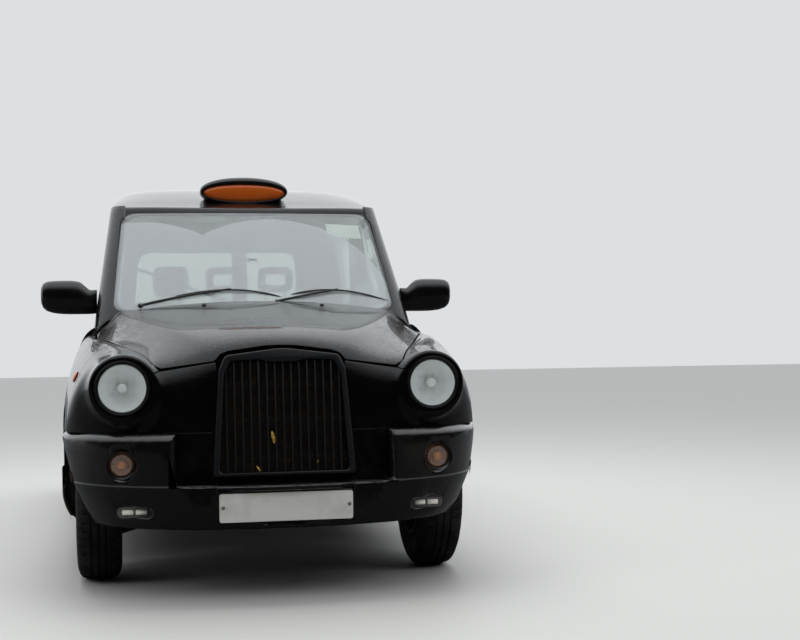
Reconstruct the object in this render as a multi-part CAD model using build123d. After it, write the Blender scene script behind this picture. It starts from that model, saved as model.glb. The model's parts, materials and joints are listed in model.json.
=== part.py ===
from build123d import *
import math
import os

# A purpose-built taxi cab in millimetres. +Z is up, the nose points to -Y and the cab's left side is +X.
# The origin lies on the ground under the middle of the cab.

# Driving sizes of the vehicle
WHEELBASE = 2886
FRONT_OVERHANG = 790
REAR_OVERHANG = 904
TRACK = 1445
HALF_WIDTH = 886
TYRE_R = 343
TYRE_W = 185
RIM_R = 206

# Stations that follow from them
LENGTH = FRONT_OVERHANG + WHEELBASE + REAR_OVERHANG
FRONT_END_Y = -LENGTH / 2
REAR_END_Y = LENGTH / 2
FRONT_AXLE_Y = FRONT_END_Y + FRONT_OVERHANG
REAR_AXLE_Y = REAR_END_Y - REAR_OVERHANG
WHEEL_X = TRACK / 2
BEYOND = LENGTH
OUT_X = HALF_WIDTH + 100

# Walls, gaps and fits
GAP = 5
SEAT = 0.3
RUN = 0.05
DOOR_T = 62
WALL_T = 100
FRAME_T = 46
PILLAR_T = 66
LID_T = 24
WING_T = 14
GLASS_T = 6
GLASS_SET = 12
RABBET = 14

# Heights on the body side
SILL_Z = 200
TUCK_Z = 340
FLANK_Z = 620
SHOULDER_Z = 1010
BELT_Z = 1078
RAIL_Z = 1690

# How far the side lies inside HALF_WIDTH at the sill, shoulder, belt and roof rail
SILL_IN = 54
SHOULDER_IN = 80
BELT_IN = 136
RAIL_IN = 214

# Plan of the tail: a corner arc, then one flat arc across
TAIL_Y = REAR_END_Y - 86
CORNER_R = 360
CORNER_SWEEP = 74
SWEEP = math.radians(CORNER_SWEEP)

# Wheel arches
ARCH_R = TYRE_R + 58
ARCH_INNER_X = 400
ARCH_TO_FRONT_DOOR = 19
ARCH_TO_REAR_DOOR = 23

# Door edges along Y, and heights of doors and windows
FRONT_DOOR_W = 1058
B_PILLAR_W = 60
FRONT_DOOR_Y = FRONT_AXLE_Y + ARCH_R + ARCH_TO_FRONT_DOOR
FRONT_DOOR = (FRONT_DOOR_Y, FRONT_DOOR_Y + FRONT_DOOR_W)
REAR_DOOR = (FRONT_DOOR[1] + B_PILLAR_W, REAR_AXLE_Y - ARCH_R - ARCH_TO_REAR_DOOR)
DOOR_LOW_Z = 268
DOOR_TOP_Z = 1672
WINDOW_LOW_Z = 1118
WINDOW_TOP_Z = 1612

# Fore and aft limits of bonnet, scuttle and boot lid
FIREWALL_Y = FRONT_DOOR[0] - 8
BONNET_REAR_Y = FIREWALL_Y - 38
BOOT_HALF_X = 520
BOOT_LOW_Z = 640
BOOT_FRONT_Y = TAIL_Y - 242


def box(x0, x1, y0, y1, z0, z1):
    """Block between two corners."""
    return Pos((x0 + x1) / 2, (y0 + y1) / 2, (z0 + z1) / 2) * Box(x1 - x0, y1 - y0, z1 - z0)


def wide(half, y0, y1, z0, z1):
    """Block that reaches the same way to both sides."""
    return box(-half, half, y0, y1, z0, z1)


def rod(start, end, radius):
    """Round bar between two points."""
    a, b = Vector(*start), Vector(*end)
    from_start = (Align.CENTER, Align.CENTER, Align.MIN)
    return Plane(origin=a, z_dir=b - a) * Cylinder(radius, (b - a).length, align=from_start)


def disc_x(x0, x1, y, z, radius):
    """Cylinder along X between two stations."""
    return rod((x0, y, z), (x1, y, z), radius)


def outline_face(points, radii, place):
    """Face from corner points, each rounded by its own radius."""
    corners = [place(p) for p in points]
    face = Face(Wire([Line(a, b) for a, b in zip(corners, corners[1:] + corners[:1])]))
    for radius in sorted(set(radii) - {0}):
        wanted = [Vector(*c) for c, r in zip(corners, radii) if r == radius]
        chosen = [v for v in face.vertices() if any((Vector(*v) - w).length < 1e-6 for w in wanted)]
        face = face.fillet_2d(radius, chosen)
    return face


def side_prism(points, radii, x0, x1):
    """Solid along X from an outline of (y, z) points."""
    face = outline_face(points, radii, lambda p: (x0, p[0], p[1]))
    return extrude(face, x1 - x0, dir=(1, 0, 0))


def front_prism(points, radii, y0, y1):
    """Solid along Y from an outline of (x, z) points."""
    face = outline_face(points, radii, lambda p: (p[0], y0, p[1]))
    return extrude(face, y1 - y0, dir=(0, 1, 0))


def plan_prism(points, radii, z0, z1):
    """Solid along Z from an outline of (x, y) points."""
    face = outline_face(points, radii, lambda p: (p[0], p[1], z0))
    return extrude(face, z1 - z0, dir=(0, 0, 1))


def mirrored(shape):
    return mirror(shape, Plane.YZ)


def both(shape):
    """A piece and its mirror image, as separate solids of one node."""
    return Compound([*shape.solids(), *mirrored(shape).solids()])


def arc_end(start, heading, end):
    """Arc in the XZ plane that leaves start along heading and reaches end, as three points."""
    dx, dz = end[0] - start[0], end[1] - start[1]
    length = math.hypot(*heading)
    tx, tz = heading[0] / length, heading[1] / length
    across = dz * tx - dx * tz
    radius = (dx * dx + dz * dz) / (2 * across)
    centre = (start[0] - radius * tz, start[1] + radius * tx)
    half = math.atan2(across, dx * tx + dz * tz)
    sx, sz = start[0] - centre[0], start[1] - centre[1]
    middle = (centre[0] + sx * math.cos(half) - sz * math.sin(half),
              centre[1] + sx * math.sin(half) + sz * math.cos(half))
    return start, middle, end


def side_profile(w, thickness):
    """Closed XZ face of a body side whose flank lies at x = w: tuck, flank, shoulder and belt."""
    sill, tuck = (w - SILL_IN, SILL_Z), (w, TUCK_Z)
    flank, shoulder, belt = (w, FLANK_Z), (w - SHOULDER_IN, SHOULDER_Z), (w - BELT_IN, BELT_Z)
    lower = arc_end(tuck, (0, -1), sill)[::-1]
    upper = arc_end(flank, (0, 1), shoulder)
    lean = (shoulder[0] - upper[1][0], shoulder[1] - upper[1][1])
    cap = arc_end(shoulder, lean, belt)

    def run(shift):
        def at(p):
            return (p[0] - shift, 0, p[1])
        return [ThreePointArc(*[at(p) for p in lower]), Line(at(tuck), at(flank)),
                ThreePointArc(*[at(p) for p in upper]), ThreePointArc(*[at(p) for p in cap])]
    ends = [Line((belt[0], 0, belt[1]), (belt[0] - thickness, 0, belt[1])),
            Line((sill[0], 0, sill[1]), (sill[0] - thickness, 0, sill[1]))]
    return Face(Wire([*run(0), ends[0], *run(thickness), ends[1]]))


# An end of the cab in plan: straight sides to side_y, a corner arc of CORNER_SWEEP on each, then one flat
# arc that meets both and reaches tip in the middle
def end_radius(w, corner):
    """Radius of the flat end arc for a half width and a corner radius."""
    return (w - corner + corner * math.cos(SWEEP)) / math.cos(SWEEP)


def side_station(w, tip, corner):
    """Where the straight side stops and the corner arc begins."""
    return tip - corner * math.sin(SWEEP) - end_radius(w, corner) * (1 - math.sin(SWEEP))


def corner_radius(w, tip, side_y):
    """Corner radius that joins a side ending at side_y to an end arc whose middle is at tip."""
    bow = (1 - math.sin(SWEEP)) / math.cos(SWEEP)
    return (tip - side_y - w * bow) / (math.sin(SWEEP) + bow * (math.cos(SWEEP) - 1))


def end_plan(w, tip, side_y, back, z):
    """Plan face of a rounded end, closed straight across at back."""
    corner = corner_radius(w, tip, side_y)
    cx = w - corner
    mid = (cx + corner * math.cos(SWEEP / 2), side_y + corner * math.sin(SWEEP / 2), z)
    join = (cx + corner * math.cos(SWEEP), side_y + corner * math.sin(SWEEP), z)
    start, heel = (w, side_y, z), (w, back, z)

    def flip(p):
        return (-p[0], p[1], z)
    return Face(Wire([
        Line(heel, start),
        ThreePointArc(start, mid, join),
        ThreePointArc(join, (0, tip, z), flip(join)),
        ThreePointArc(flip(join), flip(mid), flip(start)),
        Line(flip(start), flip(heel)),
        Line(flip(heel), heel),
    ]))


TAIL_SIDE_Y = side_station(HALF_WIDTH, TAIL_Y, CORNER_R)


def tail_block(inset, back, z0, z1):
    """Upright solid on the plan of the tail, drawn in by inset."""
    plan = end_plan(HALF_WIDTH - inset, TAIL_Y - inset, TAIL_SIDE_Y, back, z0)
    return extrude(plan, z1 - z0, dir=(0, 0, 1))


POST_Y = FRONT_DOOR[0] - 90


def lower_wall(thickness):
    """Body side on the left, from the door post to the middle of the tail."""
    end_r = end_radius(HALF_WIDTH, CORNER_R)
    face = Pos(0, POST_Y, 0) * side_profile(HALF_WIDTH, thickness)
    flank = extrude(face, TAIL_SIDE_Y - POST_Y, dir=(0, 1, 0))
    turn = Axis((HALF_WIDTH - CORNER_R, TAIL_SIDE_Y, 0), (0, 0, 1))
    corner = revolve(Pos(0, TAIL_SIDE_Y, 0) * side_profile(HALF_WIDTH, thickness), turn, CORNER_SWEEP)
    end = revolve(side_profile(end_r, thickness), Axis.Z, 90 - CORNER_SWEEP)
    end = Pos(0, TAIL_Y - end_r, 0) * (Rot(0, 0, CORNER_SWEEP) * end)
    return flank + corner + end


def rounded_plan(w, y_front, bow_front, y_rear, bow_rear, corner, z):
    """Plan face: straight sides, bowed ends, rounded corners."""
    edges = [
        Line((w, y_front, z), (w, y_rear, z)),
        ThreePointArc((w, y_rear, z), (0, y_rear + bow_rear, z), (-w, y_rear, z)),
        Line((-w, y_rear, z), (-w, y_front, z)),
        ThreePointArc((-w, y_front, z), (0, y_front - bow_front, z), (w, y_front, z)),
    ]
    face = Face(Wire(edges))
    return face.fillet_2d(corner, face.vertices())


# Glasshouse plans: height, half width, front corner Y, front bow, rear corner Y, rear bow
GREENHOUSE = [
    (BELT_Z, HALF_WIDTH - BELT_IN, FRONT_AXLE_Y + 385, 65, REAR_AXLE_Y + 519, 45),
    (RAIL_Z, HALF_WIDTH - RAIL_IN, FRONT_AXLE_Y + 927, 60, REAR_AXLE_Y + 214, 50),
]
PLAN_CORNER = 120
SCREEN_FOOT_Y = GREENHOUSE[0][2]
SCREEN_RATE = (GREENHOUSE[1][2] - GREENHOUSE[0][2]) / (RAIL_Z - BELT_Z)


def greenhouse(inset, low=BELT_Z, high=RAIL_Z):
    """Solid glasshouse from the belt up, drawn in by inset; its faces run straight to other heights."""
    (z0, *a), (z1, *b) = GREENHOUSE
    sections = []
    for z in (low, high):
        t = (z - z0) / (z1 - z0)
        w, y_front, bow_front, y_rear, bow_rear = [p + (q - p) * t for p, q in zip(a, b)]
        sections.append(rounded_plan(w - inset, y_front + inset, bow_front, y_rear - inset, bow_rear,
                                     PLAN_CORNER - inset / 2, z))
    return loft(sections)


# Roof crown along the cab: station Y, height on the centre line, height at the edge
CROWN = [
    (FRONT_AXLE_Y + 780, 1645, 1628),
    (FRONT_AXLE_Y + 1100, 1740, 1700),
    (FRONT_AXLE_Y + 1500, 1838, 1738),
    ((FRONT_AXLE_Y + REAR_AXLE_Y) / 2 + 507, 1850, 1742),
    (REAR_AXLE_Y - 236, 1828, 1732),
    (REAR_AXLE_Y + 354, 1655, 1632),
]
CROWN_EDGE_X = HALF_WIDTH - 196
CROWN_SHOULDER_X = HALF_WIDTH - 366
CROWN_FALL = 0.36
CROWN_FLOOR_Z = 1400
CROWN_TOP_Z = 1900


def crown(drop):
    """Roof crown solid, lowered by drop: a flat arc between the shoulders and a tighter one to each edge."""
    sections = []
    for y, z_mid, z_edge in CROWN:
        fall = CROWN_FALL * (z_mid - z_edge)
        shoulder = (CROWN_SHOULDER_X, z_mid - fall - drop)
        edge = (CROWN_EDGE_X, z_edge - drop)
        slope = 2 * math.atan2(fall, CROWN_SHOULDER_X)
        side = arc_end(shoulder, (math.cos(slope), -math.sin(slope)), edge)
        right = [(x, y, z) for x, z in side]
        left = [(-x, y, z) for x, y, z in right[::-1]]
        low = [(CROWN_EDGE_X, y, CROWN_FLOOR_Z), (-CROWN_EDGE_X, y, CROWN_FLOOR_Z)]
        sections.append(Face(Wire([
            ThreePointArc(*right), Line(right[-1], low[0]), Line(*low), Line(low[1], left[0]),
            ThreePointArc(*left), ThreePointArc(left[-1], (0, y, z_mid - drop), right[0]),
        ])))
    return loft(sections)


# Nose along the cab: station Y, centre height, crease x, z, bonnet shut line x, z, wing crest x, z, flank x,
# with the last three x given as distances inside HALF_WIDTH
NOSE = [
    (FRONT_AXLE_Y + 440, 1200, 655, 1152, 144, 1046, 100, 1052, 0),
    (FRONT_AXLE_Y + 180, 1165, 566, 1118, 151, 1028, 112, 1040, 6),
    (FRONT_AXLE_Y - 300, 1092, 392, 1052, 286, 968, 170, 1012, 28),
    (FRONT_AXLE_Y - 560, 1038, 290, 1000, 376, 925, 226, 950, 36),
    (FRONT_AXLE_Y - 760, 975, 225, 935, 446, 880, 286, 860, 36),
]
NOSE_TIP = 50
NOSE_SIDE_Y = -FRONT_AXLE_Y + 200
NOSE_LEAN = 8
NOSE_TOP_Z = 1250
CREST_INSET = 0.3
VALLEY_DIP = 0.035


def nose_section(row, inset, floor_z):
    """Cross-section of the nose at one station: flank, shoulder, crest, valley, bonnet side and crown."""
    y, mid_z, crease_x, crease_z, shut_in, shut_z, crest_in, crest_z, flank_in = row
    flank_x, shut_x = HALF_WIDTH - flank_in - inset, HALF_WIDTH - shut_in
    crest_x = HALF_WIDTH - crest_in - inset * CREST_INSET
    crest_z, shut_z, crease_z, mid_z = [v - inset for v in (crest_z, shut_z, crease_z, mid_z)]
    half = [(flank_x, FLANK_Z), (crest_x, crest_z), (shut_x, shut_z), (crease_x, crease_z)]
    shoulder = arc_end(half[0], (0, 1), half[1])
    valley = ((shut_x + crease_x) / 2, (shut_z + crease_z) / 2 - VALLEY_DIP * (shut_x - crease_x))

    def at(p, side):
        return (side * p[0], y, p[1])
    edges = [Line((-flank_x, y, floor_z), (flank_x, y, floor_z))]
    for side in (1, -1):
        edges += [
            Line((side * flank_x, y, floor_z), at(half[0], side)),
            ThreePointArc(*[at(p, side) for p in shoulder]),
            Line(at(half[1], side), at(half[2], side)),
            ThreePointArc(at(half[2], side), at(valley, side), at(half[3], side)),
        ]
    edges.append(ThreePointArc(at(half[3], 1), (0, y, mid_z), at(half[3], -1)))
    return Face(Wire(edges))


def nose(inset=0, floor_z=SILL_Z):
    """Solid outer form of wings, front panel and bonnet, drawn in by inset; its front leans back."""
    body = loft([nose_section(row, inset, floor_z) for row in NOSE])
    plans = []
    for z in (floor_z, NOSE_TOP_Z):
        tip = -FRONT_END_Y - NOSE_TIP - (z - SILL_Z) * math.tan(math.radians(NOSE_LEAN))
        plans.append(end_plan(HALF_WIDTH - inset, tip - inset, NOSE_SIDE_Y, -FRONT_AXLE_Y - 500, z))
    return body & (Rot(0, 0, 180) * loft(plans))


PILLAR_FACE = 112
DOOR_RADII = [30, 30, 60, 60, 20]


def front_door_outline(shrink):
    """Front door in (y, z): its front edge follows the screen pillar above the knee."""
    y0, y1 = FRONT_DOOR[0] + shrink, FRONT_DOOR[1] - shrink
    low, high = DOOR_LOW_Z + shrink, DOOR_TOP_Z - shrink
    slope = PILLAR_FACE + shrink * math.hypot(1, SCREEN_RATE)
    knee = BELT_Z + (y0 - slope - SCREEN_FOOT_Y) / SCREEN_RATE
    top_y = SCREEN_FOOT_Y + slope + (high - BELT_Z) * SCREEN_RATE
    return [(y0, low), (y1, low), (y1, high), (top_y, high), (y0, knee)], DOOR_RADII


def rear_door_outline(shrink):
    """Rear door in (y, z)."""
    y0, y1 = REAR_DOOR[0] + shrink, REAR_DOOR[1] - shrink
    low, high = DOOR_LOW_Z + shrink, DOOR_TOP_Z - shrink
    return [(y0, low), (y1, low), (y1, high), (y0, high)], DOOR_RADII[:4]


WINDOW_EDGE = 58
QUARTER_EDGE = 46
QUARTER_LOW_W, QUARTER_TOP_W = 470, 330


def window_outline(which, shrink):
    """Side window outlines in (y, z)."""
    low, high = WINDOW_LOW_Z + shrink, WINDOW_TOP_Z - shrink
    if which == "front":
        lead = SCREEN_FOOT_Y + PILLAR_FACE + WINDOW_EDGE + shrink
        y1 = FRONT_DOOR[1] - WINDOW_EDGE - shrink
        return ([(lead + (low - BELT_Z) * SCREEN_RATE, low), (y1, low), (y1, high),
                 (lead + (high - BELT_Z) * SCREEN_RATE, high)], [30, 40, 50, 50])
    if which == "rear":
        y0, y1 = REAR_DOOR[0] + WINDOW_EDGE + shrink, REAR_DOOR[1] - WINDOW_EDGE - shrink
        return [(y0, low), (y1, low), (y1, high), (y0, high)], [40, 40, 50, 50]
    y0 = REAR_DOOR[1] + QUARTER_EDGE + shrink
    return ([(y0, low), (y0 + QUARTER_LOW_W - 2 * shrink, low),
             (y0 + QUARTER_TOP_W - 2 * shrink, high), (y0, high)],
            [40, 70, 90, 50])


# Screens in (x, z): half width and height at the foot and at the top, and the corner radii
SCREEN = (HALF_WIDTH - 226, 1150, HALF_WIDTH - 264, 1642, [45, 45, 70, 70])
BACKLIGHT = (560, 1150, 520, 1590, [80, 80, 90, 90])


def screen_outline(screen, shrink):
    foot_x, foot_z, top_x, top_z, radii = screen
    foot_x, foot_z, top_x, top_z = foot_x - shrink, foot_z + shrink, top_x - shrink, top_z - shrink
    return [(-foot_x, foot_z), (foot_x, foot_z), (top_x, top_z), (-top_x, top_z)], radii


def window_prism(which, shrink):
    return side_prism(*window_outline(which, shrink), ARCH_INNER_X, OUT_X)


def windscreen_prism(shrink):
    return front_prism(*screen_outline(SCREEN, shrink), FRONT_AXLE_Y, 0)


def backlight_prism(shrink):
    return front_prism(*screen_outline(BACKLIGHT, shrink), REAR_DOOR[1], REAR_END_Y)


PARTS = {}


def keep(name, shape):
    """Stores a finished piece under its name."""
    PARTS[name] = shape


# Body sides: the wall with its pillars, a door rabbet of RABBET round each door, the arch and the tail lamp
VALANCE_Z = 300
PILLAR_SPLIT_X = HALF_WIDTH - 286
BONNET_EDGE = [(HALF_WIDTH - row[4], row[0]) for row in NOSE[:4]]
BONNET_GAP = GAP + 1
COWL_X = BONNET_EDGE[0][0]
POST_SET = 30
POST_CAP_Z = 985
BOOT_RIM = 40
wall = lower_wall(WALL_T)
pillar_shell = greenhouse(0) - greenhouse(PILLAR_T, BELT_Z - 1, RAIL_Z + 1)
left_half = box(PILLAR_SPLIT_X, OUT_X, FIREWALL_Y, REAR_END_Y, 0, CROWN_TOP_Z)
tail_zone = wide(BOOT_HALF_X + BOOT_RIM, BOOT_FRONT_Y - 60, REAR_END_Y, 0, BELT_Z + 20)
door_depth = lower_wall(DOOR_T + SEAT) + (
    (greenhouse(0) - greenhouse(FRAME_T + SEAT, BELT_Z - 1, RAIL_Z + 1)) & left_half)
LAMP_IN, LAMP_LOW_Z, LAMP_TOP_Z = (HALF_WIDTH - 186, HALF_WIDTH - 26), 690, 905
LAMP_OUTLINE = [(LAMP_IN[0], LAMP_LOW_Z), (LAMP_IN[1], LAMP_LOW_Z),
                (LAMP_IN[1], LAMP_TOP_Z), (LAMP_IN[0], LAMP_TOP_Z)]
TAIL_LAMP_T = 30
tail_lamp = lower_wall(TAIL_LAMP_T) & front_prism(LAMP_OUTLINE, [30, 10, 10, 30], TAIL_SIDE_Y, REAR_END_Y)
side = wall + (pillar_shell & left_half)
for outline in (front_door_outline, rear_door_outline):
    side -= door_depth & side_prism(*outline(0), ARCH_INNER_X, OUT_X)
    side -= side_prism(*outline(RABBET), ARCH_INNER_X, OUT_X)
side -= window_prism("quarter", 0)
side -= disc_x(ARCH_INNER_X, OUT_X, REAR_AXLE_Y, TYRE_R, ARCH_R)
side -= windscreen_prism(0)
side -= box(0, OUT_X, REAR_AXLE_Y, REAR_END_Y, 0, VALANCE_Z)
side -= tail_zone
side -= tail_lamp
side -= disc_x(ARCH_INNER_X, OUT_X, FRONT_AXLE_Y, TYRE_R, ARCH_R)
side -= lower_wall(POST_SET) & box(0, OUT_X, POST_Y - 1, FRONT_DOOR[0], 0, BELT_Z + 1)
side -= front_prism([(PILLAR_SPLIT_X, BELT_Z), (COWL_X, POST_CAP_Z), (OUT_X, POST_CAP_Z), (OUT_X, BELT_Z + 20),
                     (PILLAR_SPLIT_X, BELT_Z + 20)], [0] * 5, POST_Y - 1, FIREWALL_Y)
side -= box(COWL_X - SEAT, OUT_X, POST_Y - 1, FRONT_DOOR[0] - GAP + SEAT, POST_CAP_Z, BELT_Z)
keep("body_side_left", side)
keep("body_side_right", mirrored(side))
keep("tail_lamps", both(tail_lamp))

# Roof skin with the windscreen surround
ROOF_T = 40
SCREEN_MID_Z = 1400
roof_form = greenhouse(0, RAIL_Z, CROWN_TOP_Z) & crown(0)
roof = roof_form - (greenhouse(ROOF_T, RAIL_Z - 1, CROWN_TOP_Z + 1) & crown(ROOF_T))
FIREWALL_T = 30
ends = pillar_shell & wide(PILLAR_SPLIT_X, FIREWALL_Y - FIREWALL_T, REAR_END_Y, 0, CROWN_TOP_Z)
screen_ring = (ends & wide(OUT_X, FRONT_AXLE_Y, 0, BELT_Z - 1, CROWN_TOP_Z)) - windscreen_prism(0)
backlight_ring = (ends & wide(OUT_X, REAR_DOOR[1], REAR_END_Y, BELT_Z - 1, CROWN_TOP_Z)) - backlight_prism(0)
above_screen = wide(OUT_X, FRONT_AXLE_Y, 0, SCREEN_MID_Z, CROWN_TOP_Z)
keep("roof", roof + (screen_ring & above_screen))

# Tail frame round the boot opening with its rabbet, and the lid in it
DECK_T = 26
DECK_REAR_Y = TAIL_Y - BELT_IN - 40
deck_half = BOOT_HALF_X + BOOT_RIM
deck = wide(deck_half, BOOT_FRONT_Y - 60, DECK_REAR_Y, BELT_Z - DECK_T, BELT_Z)
thin_tail = lower_wall(LID_T)
seat_tail = lower_wall(LID_T + SEAT)


def lid_space(shrink, low_z):
    """Space of the boot lid, drawn in by shrink at its sides and front."""
    return wide(BOOT_HALF_X - shrink, BOOT_FRONT_Y + shrink, REAR_END_Y, low_z, BELT_Z + 120)


tail_ring = (wall + mirrored(wall)) & tail_zone
tail_ring &= wide(OUT_X, REAR_DOOR[1], REAR_END_Y, VALANCE_Z, BELT_Z + 20)
tail_ring -= lid_space(0, BOOT_LOW_Z) & (seat_tail + mirrored(seat_tail))
tail_ring -= lid_space(RABBET, BOOT_LOW_Z + RABBET) + lid_space(0, BELT_Z - DECK_T - SEAT)
keep("tail_frame", backlight_ring + (deck - lid_space(0, BOOT_LOW_Z)) + tail_ring)
keep("boot_lid", (thin_tail + mirrored(thin_tail) + deck) & lid_space(GAP, BOOT_LOW_Z + GAP))

# Doors with their window frames, and the panes that they carry
frame_shell = greenhouse(0) - greenhouse(FRAME_T, BELT_Z - 1, RAIL_Z + 1)
door_blank = lower_wall(DOOR_T) + (frame_shell & left_half)
pane_shell = greenhouse(GLASS_SET) - greenhouse(GLASS_SET + GLASS_T, BELT_Z - 1, RAIL_Z + 1)
for which, outline in (("front", front_door_outline), ("rear", rear_door_outline)):
    leaf = door_blank & side_prism(*outline(GAP), ARCH_INNER_X, OUT_X)
    leaf -= window_prism(which, 0)
    pane = pane_shell & window_prism(which, SEAT)
    for side_name, turn in (("left", lambda s: s), ("right", mirrored)):
        keep(f"{which}_door_{side_name}", turn(leaf))
        keep(f"{which}_door_glass_{side_name}", turn(pane))
quarter = pane_shell & window_prism("quarter", SEAT)
keep("fixed_glass", Compound([pane_shell & windscreen_prism(SEAT), pane_shell & backlight_prism(SEAT),
                              quarter, mirrored(quarter)]))

# Grille: surround and upright bars, leaning back with the nose
GRILLE_Y = FRONT_END_Y + 52
GRILLE_DEEP = 62
GRILLE_LOW_Z = 490
GRILLE_MID_Z = 700
SURROUND = [(-280, 490), (280, 490), (250, 905), (226, 962), (0, 990), (-226, 962), (-250, 905)]
SURROUND_R = [14, 14, 60, 30, 300, 30, 60]
OPENING = [(-256, 502), (256, 502), (231, 888), (206, 942), (96, 946), (52, 936), (-52, 936), (-96, 946),
           (-206, 942), (-231, 888)]
OPENING_R = [16, 16, 50, 26, 40, 40, 40, 40, 26, 50]
BARS = 15
BAR_PITCH = 32
BAR_T = 7
BAR_DEEP = 26
BAR_SET = 12
TIE_T, TIE_H = 8, 14
TIE_HEIGHTS = (560, 700, 840)
FIN_OFFSET, FIN_T, FIN_PROUD = 13, 11, 10
FIN_Z = (484, 925)


def leaned(shape):
    """Turns a piece back about the grille's foot by the nose's lean."""
    foot = Pos(0, GRILLE_Y, GRILLE_LOW_Z)
    return foot * Rot(-NOSE_LEAN, 0, 0) * foot.inverse() * shape


def grille_prism(points, radii, grow, y0, y1):
    """Solid on the surround's or the opening's outline, grown sideways and up by grow."""
    grown = [(x + math.copysign(grow, x) if x else x, z + math.copysign(grow, z - GRILLE_MID_Z))
             for x, z in points]
    return leaned(front_prism(grown, radii, GRILLE_Y + y0, GRILLE_Y + y1))


surround_hole = grille_prism(OPENING, OPENING_R, 0, -10, GRILLE_DEEP + 10)
keep("grille_surround", grille_prism(SURROUND, SURROUND_R, 0, 0, GRILLE_DEEP) - surround_hole)
bar_back_y = GRILLE_Y + BAR_SET + BAR_DEEP
bars = [box(x - BAR_T / 2, x + BAR_T / 2, GRILLE_Y + BAR_SET, bar_back_y, GRILLE_LOW_Z - 10, 1000)
        for x in [(i - (BARS - 1) / 2) * BAR_PITCH for i in range(BARS)]]
ties = [wide(SURROUND[1][0], bar_back_y, bar_back_y + TIE_T, z, z + TIE_H) for z in TIE_HEIGHTS]
keep("grille", leaned(bars[0].fuse(*bars[1:], *ties)) & surround_hole)

# Bumpers: height, distance inside HALF_WIDTH at the side, distance behind the tip
FRONT_BUMPER = [(285, 112, 28), (340, 82, 10), (455, 34, 0), (580, 18, 3), (634, 14, 6), (655, 34, 26)]
REAR_BUMPER = [(300, 24, 30), (345, 0, 8), (455, -6, 0), (575, -6, 0), (600, 12, 20)]
BUMPER_T = 30
LEDGE_REACH = 150
BUMPER_BACK = 500
FRONT_BUMPER_SIDE = -FRONT_AXLE_Y + 216
BUMPER_END_Y = FRONT_AXLE_Y - TYRE_R / 2
CREASE_Z = 458
PAD_TOP_Z = FRONT_BUMPER[-1][0]
PAD_X = 420
PAD_BEVEL = 24
RAIL_X = (320, 385)
RAIL_Z0, RAIL_Z1 = 330, 430
RAIL_FRONT_Y = FRONT_END_Y + 180


def bumper_form(levels, tip, side_y, inset, skirt=0):
    """Bumper's form from its levels, drawn in by inset, its foot carried down by skirt."""
    first = levels[0]
    rows = ([(first[0] - skirt, *first[1:])] if skirt else []) + levels
    return loft([end_plan(HALF_WIDTH - side_in - inset, tip - tip_in - inset, side_y, BUMPER_BACK, z)
                 for z, side_in, tip_in in rows], ruled=True)


def front_form(inset, skirt=0):
    return Rot(0, 0, 180) * bumper_form(FRONT_BUMPER, -FRONT_END_Y, FRONT_BUMPER_SIDE, inset, skirt)


outer_form, inner_form, ledge_form = front_form(0), front_form(BUMPER_T, 5), front_form(LEDGE_REACH, 5)


def bumper_ring(x0, x1, top):
    """Front bumper between two widths: a wall of BUMPER_T with a ledge along its top."""
    block = outer_form & box(x0, x1, FRONT_END_Y - 10, BUMPER_END_Y, 0, top)
    block -= inner_form & wide(BEYOND, -BEYOND, 0, 0, top - BUMPER_T)
    return block - ledge_form - disc_x(ARCH_INNER_X, OUT_X, FRONT_AXLE_Y, TYRE_R, ARCH_R + GAP)


# Corner pads stand up on both sides of a low middle, their inner ends closed and bevelled
bumper = bumper_ring(PAD_X, OUT_X, PAD_TOP_Z)
pad_wall = box(PAD_X, PAD_X + BUMPER_T, FRONT_END_Y - 10, BUMPER_END_Y, 0, PAD_TOP_Z)
bumper += (outer_form - ledge_form) & pad_wall
face_r = end_radius(HALF_WIDTH - 18, corner_radius(HALF_WIDTH - 18, -FRONT_END_Y - 3, FRONT_BUMPER_SIDE))
bevel_x = PAD_X + PAD_BEVEL
bevel_y = FRONT_END_Y + face_r - math.sqrt(face_r ** 2 - bevel_x ** 2)
bumper -= plan_prism([(PAD_X - 1, bevel_y - 200), (bevel_x + 200, bevel_y - 200),
                      (PAD_X - 1, bevel_y + PAD_BEVEL + 1)],
                     [0, 0, 0], CREASE_Z, PAD_TOP_Z + 1)
bumper = bumper + mirrored(bumper) + bumper_ring(-PAD_X, PAD_X, CREASE_Z)

# Flat seat of the number plate with its two screw holes
PLATE_SEAT = (268, 306, 434)
PLATE_SEAT_Y = FRONT_END_Y + 28
PLATE_BACK_Y = PLATE_SEAT_Y + 26
PLATE_HOLE_X, PLATE_HOLE_Z, PLATE_HOLE_R = 230, 370, 3
bumper += outer_form & wide(PLATE_SEAT[0], -BEYOND, PLATE_BACK_Y, *PLATE_SEAT[1:])
bumper -= wide(PLATE_SEAT[0], -BEYOND, PLATE_SEAT_Y, *PLATE_SEAT[1:])

# Round lamps in dished bosses and pill-shaped lamps below them
LAMP_X, LAMP_Z, LAMP_R = HALF_WIDTH - 258, 537, 40
LAMP_FRONT_Y = FRONT_END_Y + 140
DISH_R, BOSS_R, DISH_Y = 58, 70, FRONT_END_Y + 165
FOG_X, FOG_Z, FOG_W, FOG_H = HALF_WIDTH - 306, 353, 136, 40
FOG_BACK_Y = FRONT_END_Y + 200


def fog_prism(grow, y1):
    """Pill-shaped lamp outline, carried along Y."""
    w, h = FOG_W / 2 + grow, FOG_H / 2 + grow
    corners = [(FOG_X - w, FOG_Z - h), (FOG_X + w, FOG_Z - h), (FOG_X + w, FOG_Z + h), (FOG_X - w, FOG_Z + h)]
    return front_prism(corners, [h - 1] * 4, FRONT_END_Y - 10, y1)


def lamp_rod(y0, y1, radius):
    return rod((LAMP_X, y0, LAMP_Z), (LAMP_X, y1, LAMP_Z), radius)


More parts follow.
